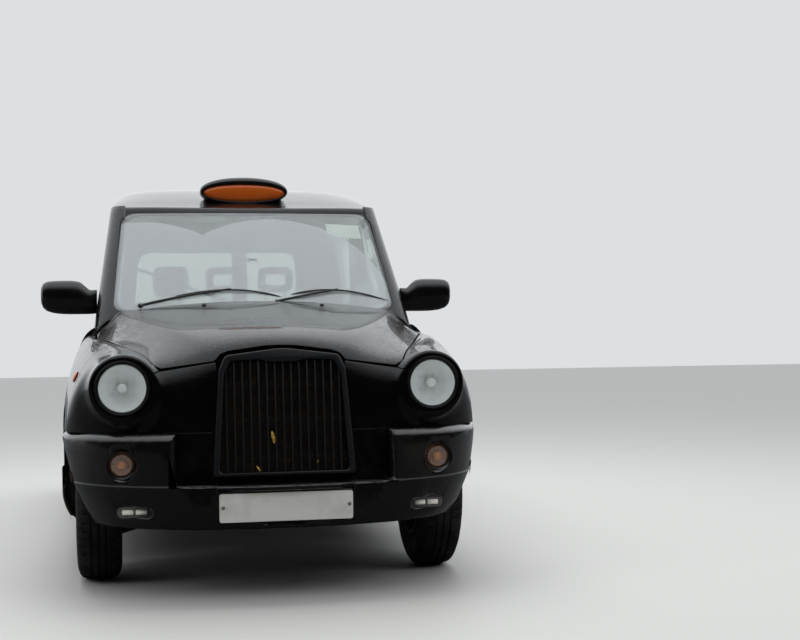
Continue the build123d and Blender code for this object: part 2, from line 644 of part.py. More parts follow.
boss = lamp_rod(FRONT_END_Y, DISH_Y + 30, BOSS_R) & outer_form
holes = lamp_rod(FRONT_END_Y - 10, DISH_Y, DISH_R) + lamp_rod(DISH_Y - 1, DISH_Y + 60, LAMP_R + SEAT)
bumper += boss + mirrored(boss)
for hole in (holes, fog_prism(SEAT, FOG_BACK_Y + 20),
             rod((PLATE_HOLE_X, -BEYOND, PLATE_HOLE_Z),
                 (PLATE_HOLE_X, PLATE_BACK_Y + 10, PLATE_HOLE_Z), PLATE_HOLE_R)):
    bumper -= hole
    bumper -= mirrored(hole)
horn = front_form(BUMPER_T / 2) & box(RAIL_X[0], RAIL_X[1], -BEYOND, RAIL_FRONT_Y, RAIL_Z0, RAIL_Z1)
rail_space = box(RAIL_X[0] - SEAT, RAIL_X[1] + SEAT, RAIL_FRONT_Y, 0, RAIL_Z0, RAIL_Z1 + SEAT)
bumper -= rail_space + mirrored(rail_space)
keep("front_bumper", bumper + horn + mirrored(horn))
lens_dome = Pos(LAMP_X, LAMP_FRONT_Y + 110, LAMP_Z) * Sphere(110)
front_lamp = lamp_rod(LAMP_FRONT_Y - 10, DISH_Y + 28, LAMP_R) & lens_dome
fog_lamp = fog_prism(0, FOG_BACK_Y) & front_form(4)
keep("bumper_lamps", Compound([*both(front_lamp).solids(), *both(fog_lamp).solids()]))
rear_args = (REAR_BUMPER, REAR_END_Y, TAIL_SIDE_Y)
rear_top = REAR_BUMPER[-1][0]
rear_bumper = bumper_form(*rear_args, 0) - (bumper_form(*rear_args, BUMPER_T, 5) & wide(
    BEYOND, 0, BEYOND, 0, rear_top - BUMPER_T))
rear_bumper &= wide(BEYOND, REAR_AXLE_Y + ARCH_R + GAP, BEYOND, 0, BEYOND)
keep("rear_bumper", rear_bumper - tail_block(-SEAT, 0, 0, BEYOND))

# Nose: wings, front panel with its fins, bonnet and scuttle
outer = nose()
inner = nose(WING_T, SILL_Z - 1)
lid_inner = nose(LID_T, SILL_Z - 1)
SHUT_LINE = [(HALF_WIDTH, 890), (475, 902), (260, 927)]
PANEL_X = HALF_WIDTH - 286
PANEL_BACK_Y = FRONT_END_Y + 390


def bonnet_region(shrink):
    """Prism over the bonnet: inside its side shut lines in plan and above its front shut line."""
    right = [(x - shrink, y) for x, y in BONNET_EDGE]
    right[0] = (right[0][0], BONNET_REAR_Y - shrink)
    right.append((BONNET_EDGE[-1][0] - shrink - 40, FRONT_END_Y))
    left = [(-x, y) for x, y in right[::-1]]
    plan = plan_prism(right + left, [0] * (2 * len(right)), SHUT_LINE[0][1], CROWN_TOP_Z)
    low = [(x, z + shrink) for x, z in SHUT_LINE]
    face = [(-x, z) for x, z in low] + low[::-1]
    face += [(OUT_X, low[0][1]), (OUT_X, CROWN_TOP_Z), (-OUT_X, CROWN_TOP_Z), (-OUT_X, low[0][1])]
    return plan & front_prism(face, [0] * len(face), FRONT_END_Y - 10, 0)


HEADLAMP_X, HEADLAMP_Z, HEADLAMP_R, LENS_R = HALF_WIDTH - 264, 833, 112, 95
LAMP_RING_Y = FRONT_END_Y + 190
LAMP_BACK_Y = LAMP_RING_Y + 110


def headlamp_rod(y0, y1, radius):
    return rod((HEADLAMP_X, y0, HEADLAMP_Z), (HEADLAMP_X, y1, HEADLAMP_Z), radius)


bonnet = (outer - lid_inner) & bonnet_region(BONNET_GAP)
bonnet -= grille_prism(SURROUND, SURROUND_R, BONNET_GAP, -20, GRILLE_DEEP + GAP)
lamp_space = headlamp_rod(FRONT_END_Y, LAMP_BACK_Y + 90, HEADLAMP_R + BONNET_GAP)
bonnet -= lamp_space + mirrored(lamp_space)
keep("bonnet", bonnet)
shell = (outer - inner) - bonnet_region(0)
shell -= wide(COWL_X, BONNET_REAR_Y, 0, 0, CROWN_TOP_Z) + wide(OUT_X, FRONT_DOOR[0] - GAP, 0, 0, CROWN_TOP_Z)
shell -= disc_x(ARCH_INNER_X, OUT_X, FRONT_AXLE_Y, TYRE_R, ARCH_R)
bumper_space = box(PAD_X - SEAT, OUT_X, -BEYOND, BUMPER_END_Y + SEAT, 0, PAD_TOP_Z + SEAT)
shell -= bumper_space + mirrored(bumper_space)
lamp_hole = headlamp_rod(FRONT_END_Y, LAMP_BACK_Y + 90, HEADLAMP_R + SEAT)
shell -= lamp_hole + mirrored(lamp_hole)
wing = shell & box(PANEL_X, OUT_X, -BEYOND, 0, 0, CROWN_TOP_Z)
keep("front_wing_left", wing)
keep("front_wing_right", mirrored(wing))
fins = grille_prism(SURROUND, SURROUND_R, FIN_OFFSET + FIN_T, -FIN_PROUD, GRILLE_DEEP + 10)
fins -= grille_prism(SURROUND, SURROUND_R, FIN_OFFSET, -FIN_PROUD - 10, GRILLE_DEEP + 20)
fins &= box(200, 400, -BEYOND, 0, *FIN_Z)

# Shelf behind the grille that stiffens the front panel and carries the bonnet's two rubber stops
SHELF_Z = (846, 864)
SHELF_X = HEADLAMP_X - HEADLAMP_R - 10
SHELF_REAR_Y = FRONT_END_Y + 220
STOP_X, STOP_Y, STOP_R = 400, SHELF_REAR_Y - 22, 14
shelf = wide(SHELF_X, -BEYOND, SHELF_REAR_Y, *SHELF_Z) & nose(WING_T - 1)
stop = rod((STOP_X, STOP_Y, SHELF_Z[0]), (STOP_X, STOP_Y, 1100), STOP_R) & nose(LID_T + SEAT)
panel = shell & wide(PANEL_X - SEAT, -BEYOND, PANEL_BACK_Y, CREASE_Z + SEAT, CROWN_TOP_Z)
panel += fins + mirrored(fins) + shelf + stop + mirrored(stop)
panel -= grille_prism(SURROUND, SURROUND_R, SEAT, -20, GRILLE_DEEP + 30)
keep("front_panel", panel)
post_wall = lower_wall(WALL_T + SEAT)
cowl = (outer - lid_inner) & wide(COWL_X, BONNET_REAR_Y, FIREWALL_Y, RAIL_Z1, CROWN_TOP_Z)
firewall = nose(WING_T + 1) & wide(OUT_X, FIREWALL_Y - FIREWALL_T, FIREWALL_Y, RAIL_Z1, CROWN_TOP_Z)
firewall -= post_wall + mirrored(post_wall)
pillar_foot = greenhouse(-SEAT, BELT_Z, SCREEN_MID_Z) - wide(PILLAR_SPLIT_X, -BEYOND, 0, 0, CROWN_TOP_Z)
scuttle = (cowl + firewall) - greenhouse(0, BELT_Z, SCREEN_MID_Z) - pillar_foot
keep("scuttle", scuttle + (screen_ring - above_screen))

# Headlamps: bowl in its rim, and the crowned lens
LENS_CROWN_R, LENS_T = 282, 6
rim = headlamp_rod(LAMP_RING_Y, LAMP_BACK_Y, HEADLAMP_R)
rim -= headlamp_rod(LAMP_RING_Y - 20, LAMP_RING_Y + 30, LENS_R)
bowl = Pos(HEADLAMP_X, LAMP_RING_Y - 30, HEADLAMP_Z) * Sphere(LENS_R + 4)
lens = Pos(HEADLAMP_X, LAMP_RING_Y + LENS_CROWN_R - 22, HEADLAMP_Z) * Sphere(LENS_CROWN_R)
lens -= Pos(HEADLAMP_X, LAMP_RING_Y + LENS_CROWN_R - 22 + LENS_T, HEADLAMP_Z) * Sphere(LENS_CROWN_R)
keep("headlamp_bodies", both(rim - bowl))
keep("headlamp_lenses", both(lens & headlamp_rod(LAMP_RING_Y - 60, LAMP_RING_Y + 28, LENS_R - SEAT)))

# Roof sign: oval housing on the roof
SIGN_Y = (FRONT_AXLE_Y + 1014, FRONT_AXLE_Y + 1148)
SIGN_W, SIGN_LOW_Z, SIGN_TOP_Z = 450, 1690, 1847
sign_mid = (SIGN_LOW_Z + SIGN_TOP_Z) / 2
sign_face = Pos(0, SIGN_Y[0], sign_mid) * Rot(90, 0, 0) * Ellipse(SIGN_W / 2, (SIGN_TOP_Z - SIGN_LOW_Z) / 2)
sign = extrude(sign_face, SIGN_Y[1] - SIGN_Y[0], dir=(0, 1, 0))
keep("roof_sign", sign - (greenhouse(-1, RAIL_Z, CROWN_TOP_Z) & crown(-SEAT)))

# Door mirrors: head and arm
MIRROR_AT = (HALF_WIDTH + 39, FRONT_AXLE_Y + 695, 1226)
MIRROR_SIZE = (178, 96, 150)
mirror_head = Pos(*MIRROR_AT) * Rot(0, 0, 8) * Box(*MIRROR_SIZE)
mirror_head = fillet(mirror_head.edges(), 34)
mirror_arm = rod((HALF_WIDTH - 170, MIRROR_AT[1] - 48, 1212), (HALF_WIDTH - 26, MIRROR_AT[1] - 10, 1218), 20)
mirror_piece = (mirror_head + mirror_arm) - greenhouse(-SEAT, BELT_Z, RAIL_Z)
keep("mirror_left", mirror_piece)
keep("mirror_right", mirrored(mirror_piece))

# Chassis: two rails kicked up over the rear axle, and the members between and outside them
KICK_Z = (470, 570)
REAR_RAIL_Z = (400, 500)
TAIL_RAIL_Y = TAIL_Y - 138
FLOOR_T = 20
FLOOR_Z = RAIL_Z1 + FLOOR_T
MEMBER_W = 80
rail_low = [(RAIL_FRONT_Y, RAIL_Z0), (REAR_AXLE_Y - 376, RAIL_Z0), (REAR_AXLE_Y - 236, KICK_Z[0]),
            (REAR_AXLE_Y + 234, KICK_Z[0]), (REAR_AXLE_Y + 334, REAR_RAIL_Z[0]), (TAIL_RAIL_Y, REAR_RAIL_Z[0])]
rail_top = [(TAIL_RAIL_Y, REAR_RAIL_Z[1]), (REAR_AXLE_Y + 304, REAR_RAIL_Z[1]), (REAR_AXLE_Y + 264, KICK_Z[1]),
            (REAR_AXLE_Y - 276, KICK_Z[1]), (REAR_AXLE_Y - 416, RAIL_Z1), (RAIL_FRONT_Y, RAIL_Z1)]
chassis_rail = side_prism(rail_low + rail_top, [0] * 12, *RAIL_X)
keep("chassis_frame", both(chassis_rail))
FRONT_MEMBER_Y = FRONT_AXLE_Y - 560
UNDER_Z = (270, RAIL_Z0)
EXHAUST_HANGERS = (FRONT_DOOR[1] - 178, REAR_AXLE_Y - 586)
LAST_MEMBER_Y = TAIL_RAIL_Y - 51
members = [wide(RAIL_X[0], FRONT_MEMBER_Y - MEMBER_W / 2, FRONT_MEMBER_Y + MEMBER_W / 2, 340, 420)]
for y in (FRONT_AXLE_Y + 400, *EXHAUST_HANGERS):
    members.append(wide(RAIL_X[1], y - MEMBER_W / 2, y + MEMBER_W / 2, *UNDER_Z))
for y in (REAR_AXLE_Y + 309, LAST_MEMBER_Y):
    members.append(wide(RAIL_X[0], y - MEMBER_W / 2, y + MEMBER_W / 2, 405, 495))
OUTRIGGER = (HALF_WIDTH - WALL_T, 350, RAIL_Z1)
for y in (FRONT_AXLE_Y + 500, (FRONT_DOOR[1] + REAR_DOOR[0]) / 2 - 68, REAR_AXLE_Y - 486):
    outrigger = box(RAIL_X[1], OUTRIGGER[0], y - 30, y + 30, *OUTRIGGER[1:])
    members += [outrigger, mirrored(outrigger)]
keep("crossmembers", Compound([s for m in members for s in m.solids()]))

# Floor with the step up to the boot, and the wheel houses
BOOT_FLOOR_Z = 600
STEP_Y = REAR_AXLE_Y - 436
HOUSE_T = 12
LINER_T = 6
LINER_FRONT_Y = FRONT_AXLE_Y - ARCH_R - 15
LINER_FOOT_Z = RAIL_Z1 + 20
INSIDE_X = HALF_WIDTH - WALL_T - SEAT
floor = wide(INSIDE_X, FIREWALL_Y, STEP_Y, RAIL_Z1, FLOOR_Z)
floor += wide(INSIDE_X, STEP_Y - FLOOR_T, STEP_Y, RAIL_Z1, BOOT_FLOOR_Z + FLOOR_T)
boot_floor = tail_block(WALL_T + SEAT, STEP_Y - FLOOR_T, BOOT_FLOOR_Z, BOOT_FLOOR_Z + FLOOR_T)
floor += boot_floor
house_out = disc_x(ARCH_INNER_X, INSIDE_X, REAR_AXLE_Y, TYRE_R, ARCH_R + HOUSE_T)
house_in = disc_x(ARCH_INNER_X + HOUSE_T, INSIDE_X + 1, REAR_AXLE_Y, TYRE_R, ARCH_R)
house_gap = disc_x(ARCH_INNER_X - SEAT, OUT_X, REAR_AXLE_Y, TYRE_R, ARCH_R + HOUSE_T + SEAT)
keep("floor_pan", floor - (house_gap + mirrored(house_gap)))
rear_house = house_out - house_in - lower_wall(WALL_T + SEAT)
rear_house &= box(0, OUT_X, STEP_Y, REAR_END_Y, KICK_Z[1], BELT_Z)
keep("rear_wheel_houses", both(rear_house))
liner = disc_x(RAIL_X[1] + 1, OUT_X, FRONT_AXLE_Y, TYRE_R, ARCH_R + LINER_T)
liner -= disc_x(0, OUT_X, FRONT_AXLE_Y, TYRE_R, ARCH_R)
liner &= nose(WING_T + SEAT, SILL_Z - 1)
liner &= box(RAIL_X[1] + 1, OUT_X, LINER_FRONT_Y, POST_Y - 1, LINER_FOOT_Z, BELT_Z)
liner -= front_form(-SEAT) & box(0, OUT_X, -BEYOND, FRONT_AXLE_Y, 0, PAD_TOP_Z + SEAT)
keep("front_wheel_houses", both(liner))

# Front suspension: cross beam with two pairs of arms; rear springs on the axle
ENGINE = (270, FRONT_AXLE_Y - 330, FRONT_AXLE_Y + 320, 382, 930)
KINGPIN_X = WHEEL_X - 34.5
ARM_TIP_X = KINGPIN_X + 18
ARM_HEEL_X = KINGPIN_X - 48
AXLE_R = 40
KNUCKLE_Z = (TYRE_R - 133, TYRE_R + 135)
keep("engine_block", wide(*ENGINE))
beam = wide(RAIL_X[1], FRONT_AXLE_Y - 60, FRONT_AXLE_Y + 60, 250, RAIL_Z0)
beam += wide(RAIL_X[0] - 1, FRONT_AXLE_Y - 60, FRONT_AXLE_Y + 60, RAIL_Z0, ENGINE[3])
arm_low = front_prism([(RAIL_X[1] - 20, 262), (ARM_HEEL_X, KNUCKLE_Z[0] - 24), (ARM_TIP_X, KNUCKLE_Z[0] - 24),
                       (ARM_TIP_X, KNUCKLE_Z[0] - SEAT), (ARM_HEEL_X, KNUCKLE_Z[0] - SEAT), (RAIL_X[1] - 20, 300)],
                      [0] * 6, FRONT_AXLE_Y - 34, FRONT_AXLE_Y + 34)
arm_high = front_prism([(RAIL_X[1], 396), (ARM_HEEL_X, KNUCKLE_Z[1] + SEAT), (ARM_TIP_X, KNUCKLE_Z[1] + SEAT),
                        (ARM_TIP_X, KNUCKLE_Z[1] + 22), (ARM_HEEL_X, KNUCKLE_Z[1] + 22), (RAIL_X[1], 424)],
                       [0] * 6, FRONT_AXLE_Y - 28, FRONT_AXLE_Y + 28)
SPRING_X, SPRING_R, SPRING_BORE = (RAIL_X[0] + RAIL_X[1]) / 2, 52, 38
spring = rod((SPRING_X, REAR_AXLE_Y, TYRE_R), (SPRING_X, REAR_AXLE_Y, KICK_Z[0]), SPRING_R)
spring -= rod((SPRING_X, REAR_AXLE_Y, TYRE_R - 10), (SPRING_X, REAR_AXLE_Y, KICK_Z[0] + 5), SPRING_BORE)
axle_space = wide(WHEEL_X, REAR_AXLE_Y - 100, REAR_AXLE_Y + 100, 0, TYRE_R + AXLE_R + SEAT)
keep("suspension", Compound([beam + arm_low + mirrored(arm_low), arm_high, mirrored(arm_high),
                             *both(spring - axle_space).solids()]))

# Live rear axle, turned in one piece: drums, tubes and the round casing
HUB_BORE_R = 22
HUB_X0, HUB_X1 = WHEEL_X - 6.5, WHEEL_X + 75.5
DRUM_X = (WHEEL_X - 82.5, WHEEL_X - 22.5)
DRUM_R = 130
AXLE_BALL_R = 112
BALL_JOIN_X = math.sqrt(AXLE_BALL_R ** 2 - AXLE_R ** 2)


def axle_point(p, side=1):
    return (side * p[0], REAR_AXLE_Y, TYRE_R + p[1])


axle_steps = [(-HUB_X1, 0), (-HUB_X1, HUB_BORE_R), (-DRUM_X[1], HUB_BORE_R), (-DRUM_X[1], DRUM_R),
              (-DRUM_X[0], DRUM_R), (-DRUM_X[0], AXLE_R), (-BALL_JOIN_X, AXLE_R)]
axle_edges = [Line(axle_point(a, side), axle_point(b, side))
              for side in (1, -1) for a, b in zip(axle_steps, axle_steps[1:])]
axle_edges.append(ThreePointArc(axle_point(axle_steps[-1]), axle_point((0, AXLE_BALL_R)),
                                axle_point(axle_steps[-1], -1)))
axle_edges.append(Line(axle_point(axle_steps[0]), axle_point(axle_steps[0], -1)))
keep("rear_axle", revolve(Face(Wire(axle_edges)), Axis((0, REAR_AXLE_Y, TYRE_R), (1, 0, 0)), 360))

# Propeller shaft, exhaust and fuel tank
SHAFT_R = 30
shaft = rod((0, ENGINE[2] + 2, 398), (0, REAR_AXLE_Y - 100, TYRE_R + 20), SHAFT_R)
keep("propshaft", shaft - Pos(0, REAR_AXLE_Y, TYRE_R) * Sphere(AXLE_BALL_R + SEAT))
EXHAUST_X, EXHAUST_Z, EXHAUST_R = -200, 244, 22
MUFFLER = (90, 460, 206, 290)
muffler_y = (REAR_DOOR[0] + 62, REAR_DOOR[0] + 62 + MUFFLER[1])
muffler = box(EXHAUST_X - MUFFLER[0], EXHAUST_X + MUFFLER[0], *muffler_y, *MUFFLER[2:])
muffler = fillet(muffler.edges().filter_by(Axis.Y), 36)
pipe = rod((EXHAUST_X, ENGINE[2] + 20, EXHAUST_Z), (EXHAUST_X, REAR_END_Y - 50, EXHAUST_Z), EXHAUST_R)
pipe += muffler
for y, under in ((EXHAUST_HANGERS[0], UNDER_Z[0]), (EXHAUST_HANGERS[1], UNDER_Z[0]), (LAST_MEMBER_Y, 405)):
    pipe += box(EXHAUST_X - 10, EXHAUST_X + 10, y - 10, y + 10, EXHAUST_Z, under - SEAT)
keep("exhaust", pipe)
tank = wide(RAIL_X[0] - SEAT, REAR_AXLE_Y + 354, LAST_MEMBER_Y - 45, 330, 520)
keep("fuel_tank", fillet(tank.edges(), 24))

# Wheels and knuckles
KNUCKLE_X = (KINGPIN_X - 22, KINGPIN_X + 18)
RIM_HALF = TYRE_W / 2 - 4.5
RIM_T = 12
HUB_R = 62
VENTS, VENT_RING_R, VENT_R = 12, RIM_R * 0.68, 18
TYRE_SHOULDER = 34
knuckle = box(*KNUCKLE_X, FRONT_AXLE_Y - 30, FRONT_AXLE_Y + 30, *KNUCKLE_Z)
knuckle += disc_x(KNUCKLE_X[1] - 6, HUB_X1, FRONT_AXLE_Y, TYRE_R, HUB_BORE_R)
keep("knuckle_left", knuckle)
keep("knuckle_right", mirrored(knuckle))


def wheel(y):
    """Steel wheel: barrel, vented disc and hub, on the left side at station y."""
    x0, x1 = WHEEL_X - RIM_HALF, WHEEL_X + RIM_HALF
    disc = disc_x(x0, x1, y, TYRE_R, RIM_R) - disc_x(x0 - 1, x1 + 1, y, TYRE_R, RIM_R - RIM_T)
    disc += disc_x(HUB_X1 - 30, HUB_X1 - 18, y, TYRE_R, RIM_R - RIM_T / 2)
    disc += disc_x(HUB_X0, HUB_X1, y, TYRE_R, HUB_R)
    for i in range(VENTS):
        a = 2 * math.pi * i / VENTS
        vent_y = y + VENT_RING_R * math.cos(a)
        disc -= disc_x(HUB_X0, OUT_X, vent_y, TYRE_R + VENT_RING_R * math.sin(a), VENT_R)
    return disc - disc_x(HUB_X0 - 10, OUT_X, y, TYRE_R, HUB_BORE_R + RUN)


def tyre(y):
    """Tyre with rounded shoulders, on the left side at station y."""
    ring = disc_x(WHEEL_X - TYRE_W / 2, WHEEL_X + TYRE_W / 2, y, TYRE_R, TYRE_R)
    ring = fillet(ring.edges(), TYRE_SHOULDER)
    return ring - disc_x(0, BEYOND, y, TYRE_R, RIM_R + SEAT)


for end_name, y in (("front", FRONT_AXLE_Y), ("rear", REAR_AXLE_Y)):
    for side_name, turn in (("left", lambda s: s), ("right", mirrored)):
        keep(f"wheel_{end_name}_{side_name}", turn(wheel(y)))
        keep(f"tyre_{end_name}_{side_name}", turn(tyre(y)))

# Dashboard with the steering column, and the steering wheel
DASH_X = HALF_WIDTH - 246
dash_y = FIREWALL_Y + 228
dash = side_prism([(FIREWALL_Y, 720), (dash_y, 720), (dash_y + 60, 860), (dash_y + 60, 1010), (dash_y, 1070),
                   (FIREWALL_Y, BELT_Z - 4)], [0, 30, 60, 40, 30, 0], -DASH_X, DASH_X)
DRIVER_X = -370
COLUMN_FOOT, COLUMN_TOP = (DRIVER_X, dash_y + 30, 905), (DRIVER_X, dash_y + 220, 1005)
HAND_R, HAND_T, HAND_HUB_R, HAND_HUB_T = 190, 14, 48, 44
keep("dashboard", dash + rod(COLUMN_FOOT, COLUMN_TOP, 18))
column_dir = (Vector(*COLUMN_TOP) - Vector(*COLUMN_FOOT)).normalized()
hub_at = Vector(*COLUMN_TOP) + column_dir * (HAND_HUB_T / 2 + SEAT)
hand_plane = Plane(origin=hub_at, z_dir=column_dir, x_dir=(1, 0, 0))
spokes = [hand_plane * Rot(0, 0, a) * Pos(HAND_R / 2, 0, 0) * Box(HAND_R - HAND_T + 2, 26, 12)
          for a in (0, 180, 270)]
hand_hub = hand_plane * Cylinder(HAND_HUB_R, HAND_HUB_T)
keep("steering_wheel", hand_hub.fuse(*spokes) + hand_plane * Torus(HAND_R, HAND_T))

# Seats: soft blocks on their plinths, with stuffed head restraints on rods
CUSHION_T = 150
BACK_T = 130
SEAT_ROUND = 40


def seat(x0, x1, y0, y1, z0, top_z):
    """Cushion with the back at its rear, as plain rounded blocks."""
    cushion = box(x0, x1, y0, y1, z0, z0 + CUSHION_T) + box(x0, x1, y1 - BACK_T, y1, z0, top_z)
    return fillet(cushion.edges().filter_by(Axis.X), SEAT_ROUND)


def head_rods(x, y, z0, z1, spread):
    return rod((x - spread, y, z0), (x - spread, y, z1), 8) + rod((x + spread, y, z0), (x + spread, y, z1), 8)


DRIVER_Y = (FRONT_DOOR[1] - 538, FRONT_DOOR[1] - 168)
driver = seat(DRIVER_X - 190, DRIVER_X + 190, *DRIVER_Y, 620, 1180)
driver += box(DRIVER_X - 160, DRIVER_X + 160, DRIVER_Y[0] + 20, DRIVER_Y[1] - 20, FLOOR_Z + SEAT, 640)
driver_rest = box(DRIVER_X - 90, DRIVER_X + 90, DRIVER_Y[1] - 80, DRIVER_Y[1] - 10, 1240, 1400)
driver += fillet(driver_rest.edges(), 20) + head_rods(DRIVER_X, DRIVER_Y[1] - 45, 1150, 1260, 40)
keep("driver_seat", driver)
PARTITION_Y = (FRONT_DOOR[1] - 108, FRONT_DOOR[1] - 90)
screen_panel = wide(HALF_WIDTH, *PARTITION_Y, FLOOR_Z + SEAT, 1640) & greenhouse(PILLAR_T + GAP, 400, RAIL_Z)
screen_panel -= wide(HALF_WIDTH, *PARTITION_Y, 0, BELT_Z) - wide(HALF_WIDTH - 186, *PARTITION_Y, 0, BELT_Z)
for x0, x1 in ((-600, -40), (40, 600)):
    screen_panel -= box(x0, x1, PARTITION_Y[0] - 10, PARTITION_Y[1] + 10, 1120, 1560)
keep("partition", screen_panel)
BENCH_Y = (REAR_AXLE_Y - 626, REAR_AXLE_Y - 206)
BENCH_Z = 760 + SEAT
BENCH_TOP_Z = 1240
boot_top = BOOT_FLOOR_Z + FLOOR_T + SEAT
bench = seat(-640, 640, *BENCH_Y, BENCH_Z, BENCH_TOP_Z)
bench += wide(380, *BENCH_Y, boot_top, BENCH_Z + 20)
bench += wide(600, BENCH_Y[0] + 30, STEP_Y - FLOOR_T - SEAT, FLOOR_Z + SEAT, BENCH_Z + 20)
REST_Y = (BENCH_Y[1] - 90, BENCH_Y[1] - 30)
for x in (-325, 0, 325):
    rest = fillet(box(x - 110, x + 110, *REST_Y, 1300, 1460).edges().filter_by(Axis.Y), 45)
    hollow = box(x - 62, x + 62, REST_Y[0] - 10, REST_Y[1] + 10, 1345, 1418)
    rest -= fillet(hollow.edges().filter_by(Axis.Y), 24)
    bench += rest + head_rods(x, sum(REST_Y) / 2, 1200, 1310, 60)
keep("rear_bench", bench)
tips = []
for x0, x1 in ((-560, -160), (160, 560)):
    tip_y = PARTITION_Y[1] + SEAT
    tip_back = fillet(box(x0, x1, tip_y, tip_y + 72, 755, 1060).edges().filter_by(Axis.Y), 40)
    tips.append(tip_back + box(x0 + 10, x1 - 10, tip_y, tip_y + 92, 560, 755))
keep("folding_seats", Compound([s for t in tips for s in t.solids()]))

os.makedirs("parts", exist_ok=True)
for name, shape in PARTS.items():
    export_step(shape, f"parts/{name}.step")
    print(name, len(shape.solids()), round(shape.volume))
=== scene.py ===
import json
import math

import bmesh
import bpy
import numpy as np
from mathutils import Matrix, Vector
from mathutils.bvhtree import BVHTree


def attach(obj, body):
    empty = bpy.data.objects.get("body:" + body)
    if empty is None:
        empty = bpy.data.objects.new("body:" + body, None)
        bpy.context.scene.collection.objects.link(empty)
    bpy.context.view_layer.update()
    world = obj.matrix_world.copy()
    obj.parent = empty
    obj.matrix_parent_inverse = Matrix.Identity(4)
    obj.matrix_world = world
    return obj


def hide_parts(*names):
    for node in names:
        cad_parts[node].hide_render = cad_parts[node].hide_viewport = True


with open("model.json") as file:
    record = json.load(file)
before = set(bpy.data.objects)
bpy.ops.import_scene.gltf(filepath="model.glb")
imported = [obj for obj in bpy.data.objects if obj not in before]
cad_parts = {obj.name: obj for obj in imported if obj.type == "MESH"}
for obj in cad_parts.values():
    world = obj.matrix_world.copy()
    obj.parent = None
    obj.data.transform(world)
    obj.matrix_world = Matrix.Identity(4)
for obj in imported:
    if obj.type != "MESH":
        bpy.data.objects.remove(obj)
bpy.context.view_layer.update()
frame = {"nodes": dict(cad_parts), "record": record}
nodes = frame["nodes"]

# Camera: it stands low in front of the cab, a little to its right side, at the photograph's angle.
# Its lens is a moderate telephoto on a 36 mm wide sensor; place in metres, turns in degrees.
CAMERA_PLACE = (-0.611, -7.690, 1.036)
CAMERA_YAW, CAMERA_PITCH, CAMERA_ROLL = 11.13, 0.54, -0.72
LENS_MM = 63.05

camera_data = bpy.data.cameras.new("camera")
camera_data.lens = LENS_MM
camera_data.sensor_width = 36
camera = bpy.data.objects.new("camera", camera_data)
camera.matrix_world = (Matrix.Translation(CAMERA_PLACE)
                       @ Matrix.Rotation(math.radians(-CAMERA_YAW), 4, "Z")
                       @ Matrix.Rotation(math.radians(90 + CAMERA_PITCH), 4, "X")
                       @ Matrix.Rotation(math.radians(CAMERA_ROLL), 4, "Z"))
bpy.context.scene.collection.objects.link(camera)
bpy.context.scene.camera = camera
bpy.context.scene.view_settings.view_transform = "Standard"

# Studio: a pale floor that keeps the cab's shadow, and soft lamps overhead and to the sides. The paint mirrors a
# sky that is bright overhead and behind the cab and dark low in front; the camera sees a plain pale background.
FLOOR_SIZE = 60
FLOOR_GREY, FLOOR_MIRRORED = "B9B9B6", "1E1E1F"
SKY_TOP, SKY_LOW = "F4F7FA", "0C0D0F"
SKY_TILT, SKY_EDGE = 0.42, (0.10, 0.62)
PALE = "DDDFE1"


def to_linear(hex_colour):
    """Linear RGBA of an sRGB colour written as six hex digits."""
    parts = [int(hex_colour[i:i + 2], 16) / 255 for i in (0, 2, 4)]
    return tuple(c / 12.92 if c <= 0.04045 else ((c + 0.055) / 1.055) ** 2.4 for c in parts) + (1.0,)


def add_node(tree, kind, settings=None, inputs=None, links=None):
    """Adds a node; settings are its properties, inputs its socket values, links its sockets' sources."""
    node = tree.nodes.new(kind)
    for key, value in (settings or {}).items():
        setattr(node, key, value)
    for key, value in (inputs or {}).items():
        node.inputs[key].default_value = value
    for key, source in (links or {}).items():
        tree.links.new(source, node.inputs[key])
    return node


def new_material(name):
    """An empty node material, its tree, its output and a main shader linked to it."""
    material = bpy.data.materials.new(name)
    material.use_nodes = True
    tree = material.node_tree
    tree.nodes.clear()
    out = tree.nodes.new("ShaderNodeOutputMaterial")
    shader = tree.nodes.new("ShaderNodeBsdfPrincipled")
    tree.links.new(shader.outputs[0], out.inputs[0])
    return material, tree, out, shader


world = bpy.data.worlds.new("pale_sky")
bpy.context.scene.world = world
world.use_nodes = True
sky_tree = world.node_tree
sky_tree.nodes.clear()
coord = add_node(sky_tree, "ShaderNodeTexCoord")
split = add_node(sky_tree, "ShaderNodeSeparateXYZ", links={0: coord.outputs["Generated"]})
tilted = add_node(sky_tree, "ShaderNodeMath", {"operation": "MULTIPLY_ADD"}, {1: SKY_TILT},
                  {0: split.outputs["Y"], 2: split.outputs["Z"]})
ramp = add_node(sky_tree, "ShaderNodeValToRGB", links={0: tilted.outputs[0]})
ramp.color_ramp.elements[0].position = SKY_EDGE[0]
ramp.color_ramp.elements[0].color = to_linear(SKY_LOW)
ramp.color_ramp.elements[1].position = SKY_EDGE[1]
ramp.color_ramp.elements[1].color = to_linear(SKY_TOP)
light_path = add_node(sky_tree, "ShaderNodeLightPath")
seen = add_node(sky_tree, "ShaderNodeMath", {"operation": "MAXIMUM"}, links={
    0: light_path.outputs["Is Camera Ray"], 1: light_path.outputs["Is Transmission Ray"]})
sky = add_node(sky_tree, "ShaderNodeBackground", inputs={"Strength": 1.1}, links={"Color": ramp.outputs[0]})
pale = add_node(sky_tree, "ShaderNodeBackground", inputs={"Color": to_linear(PALE), "Strength": 1.0})
mix = add_node(sky_tree, "ShaderNodeMixShader", links={0: seen.outputs[0], 1: sky.outputs[0], 2: pale.outputs[0]})
add_node(sky_tree, "ShaderNodeOutputWorld", links={0: mix.outputs[0]})

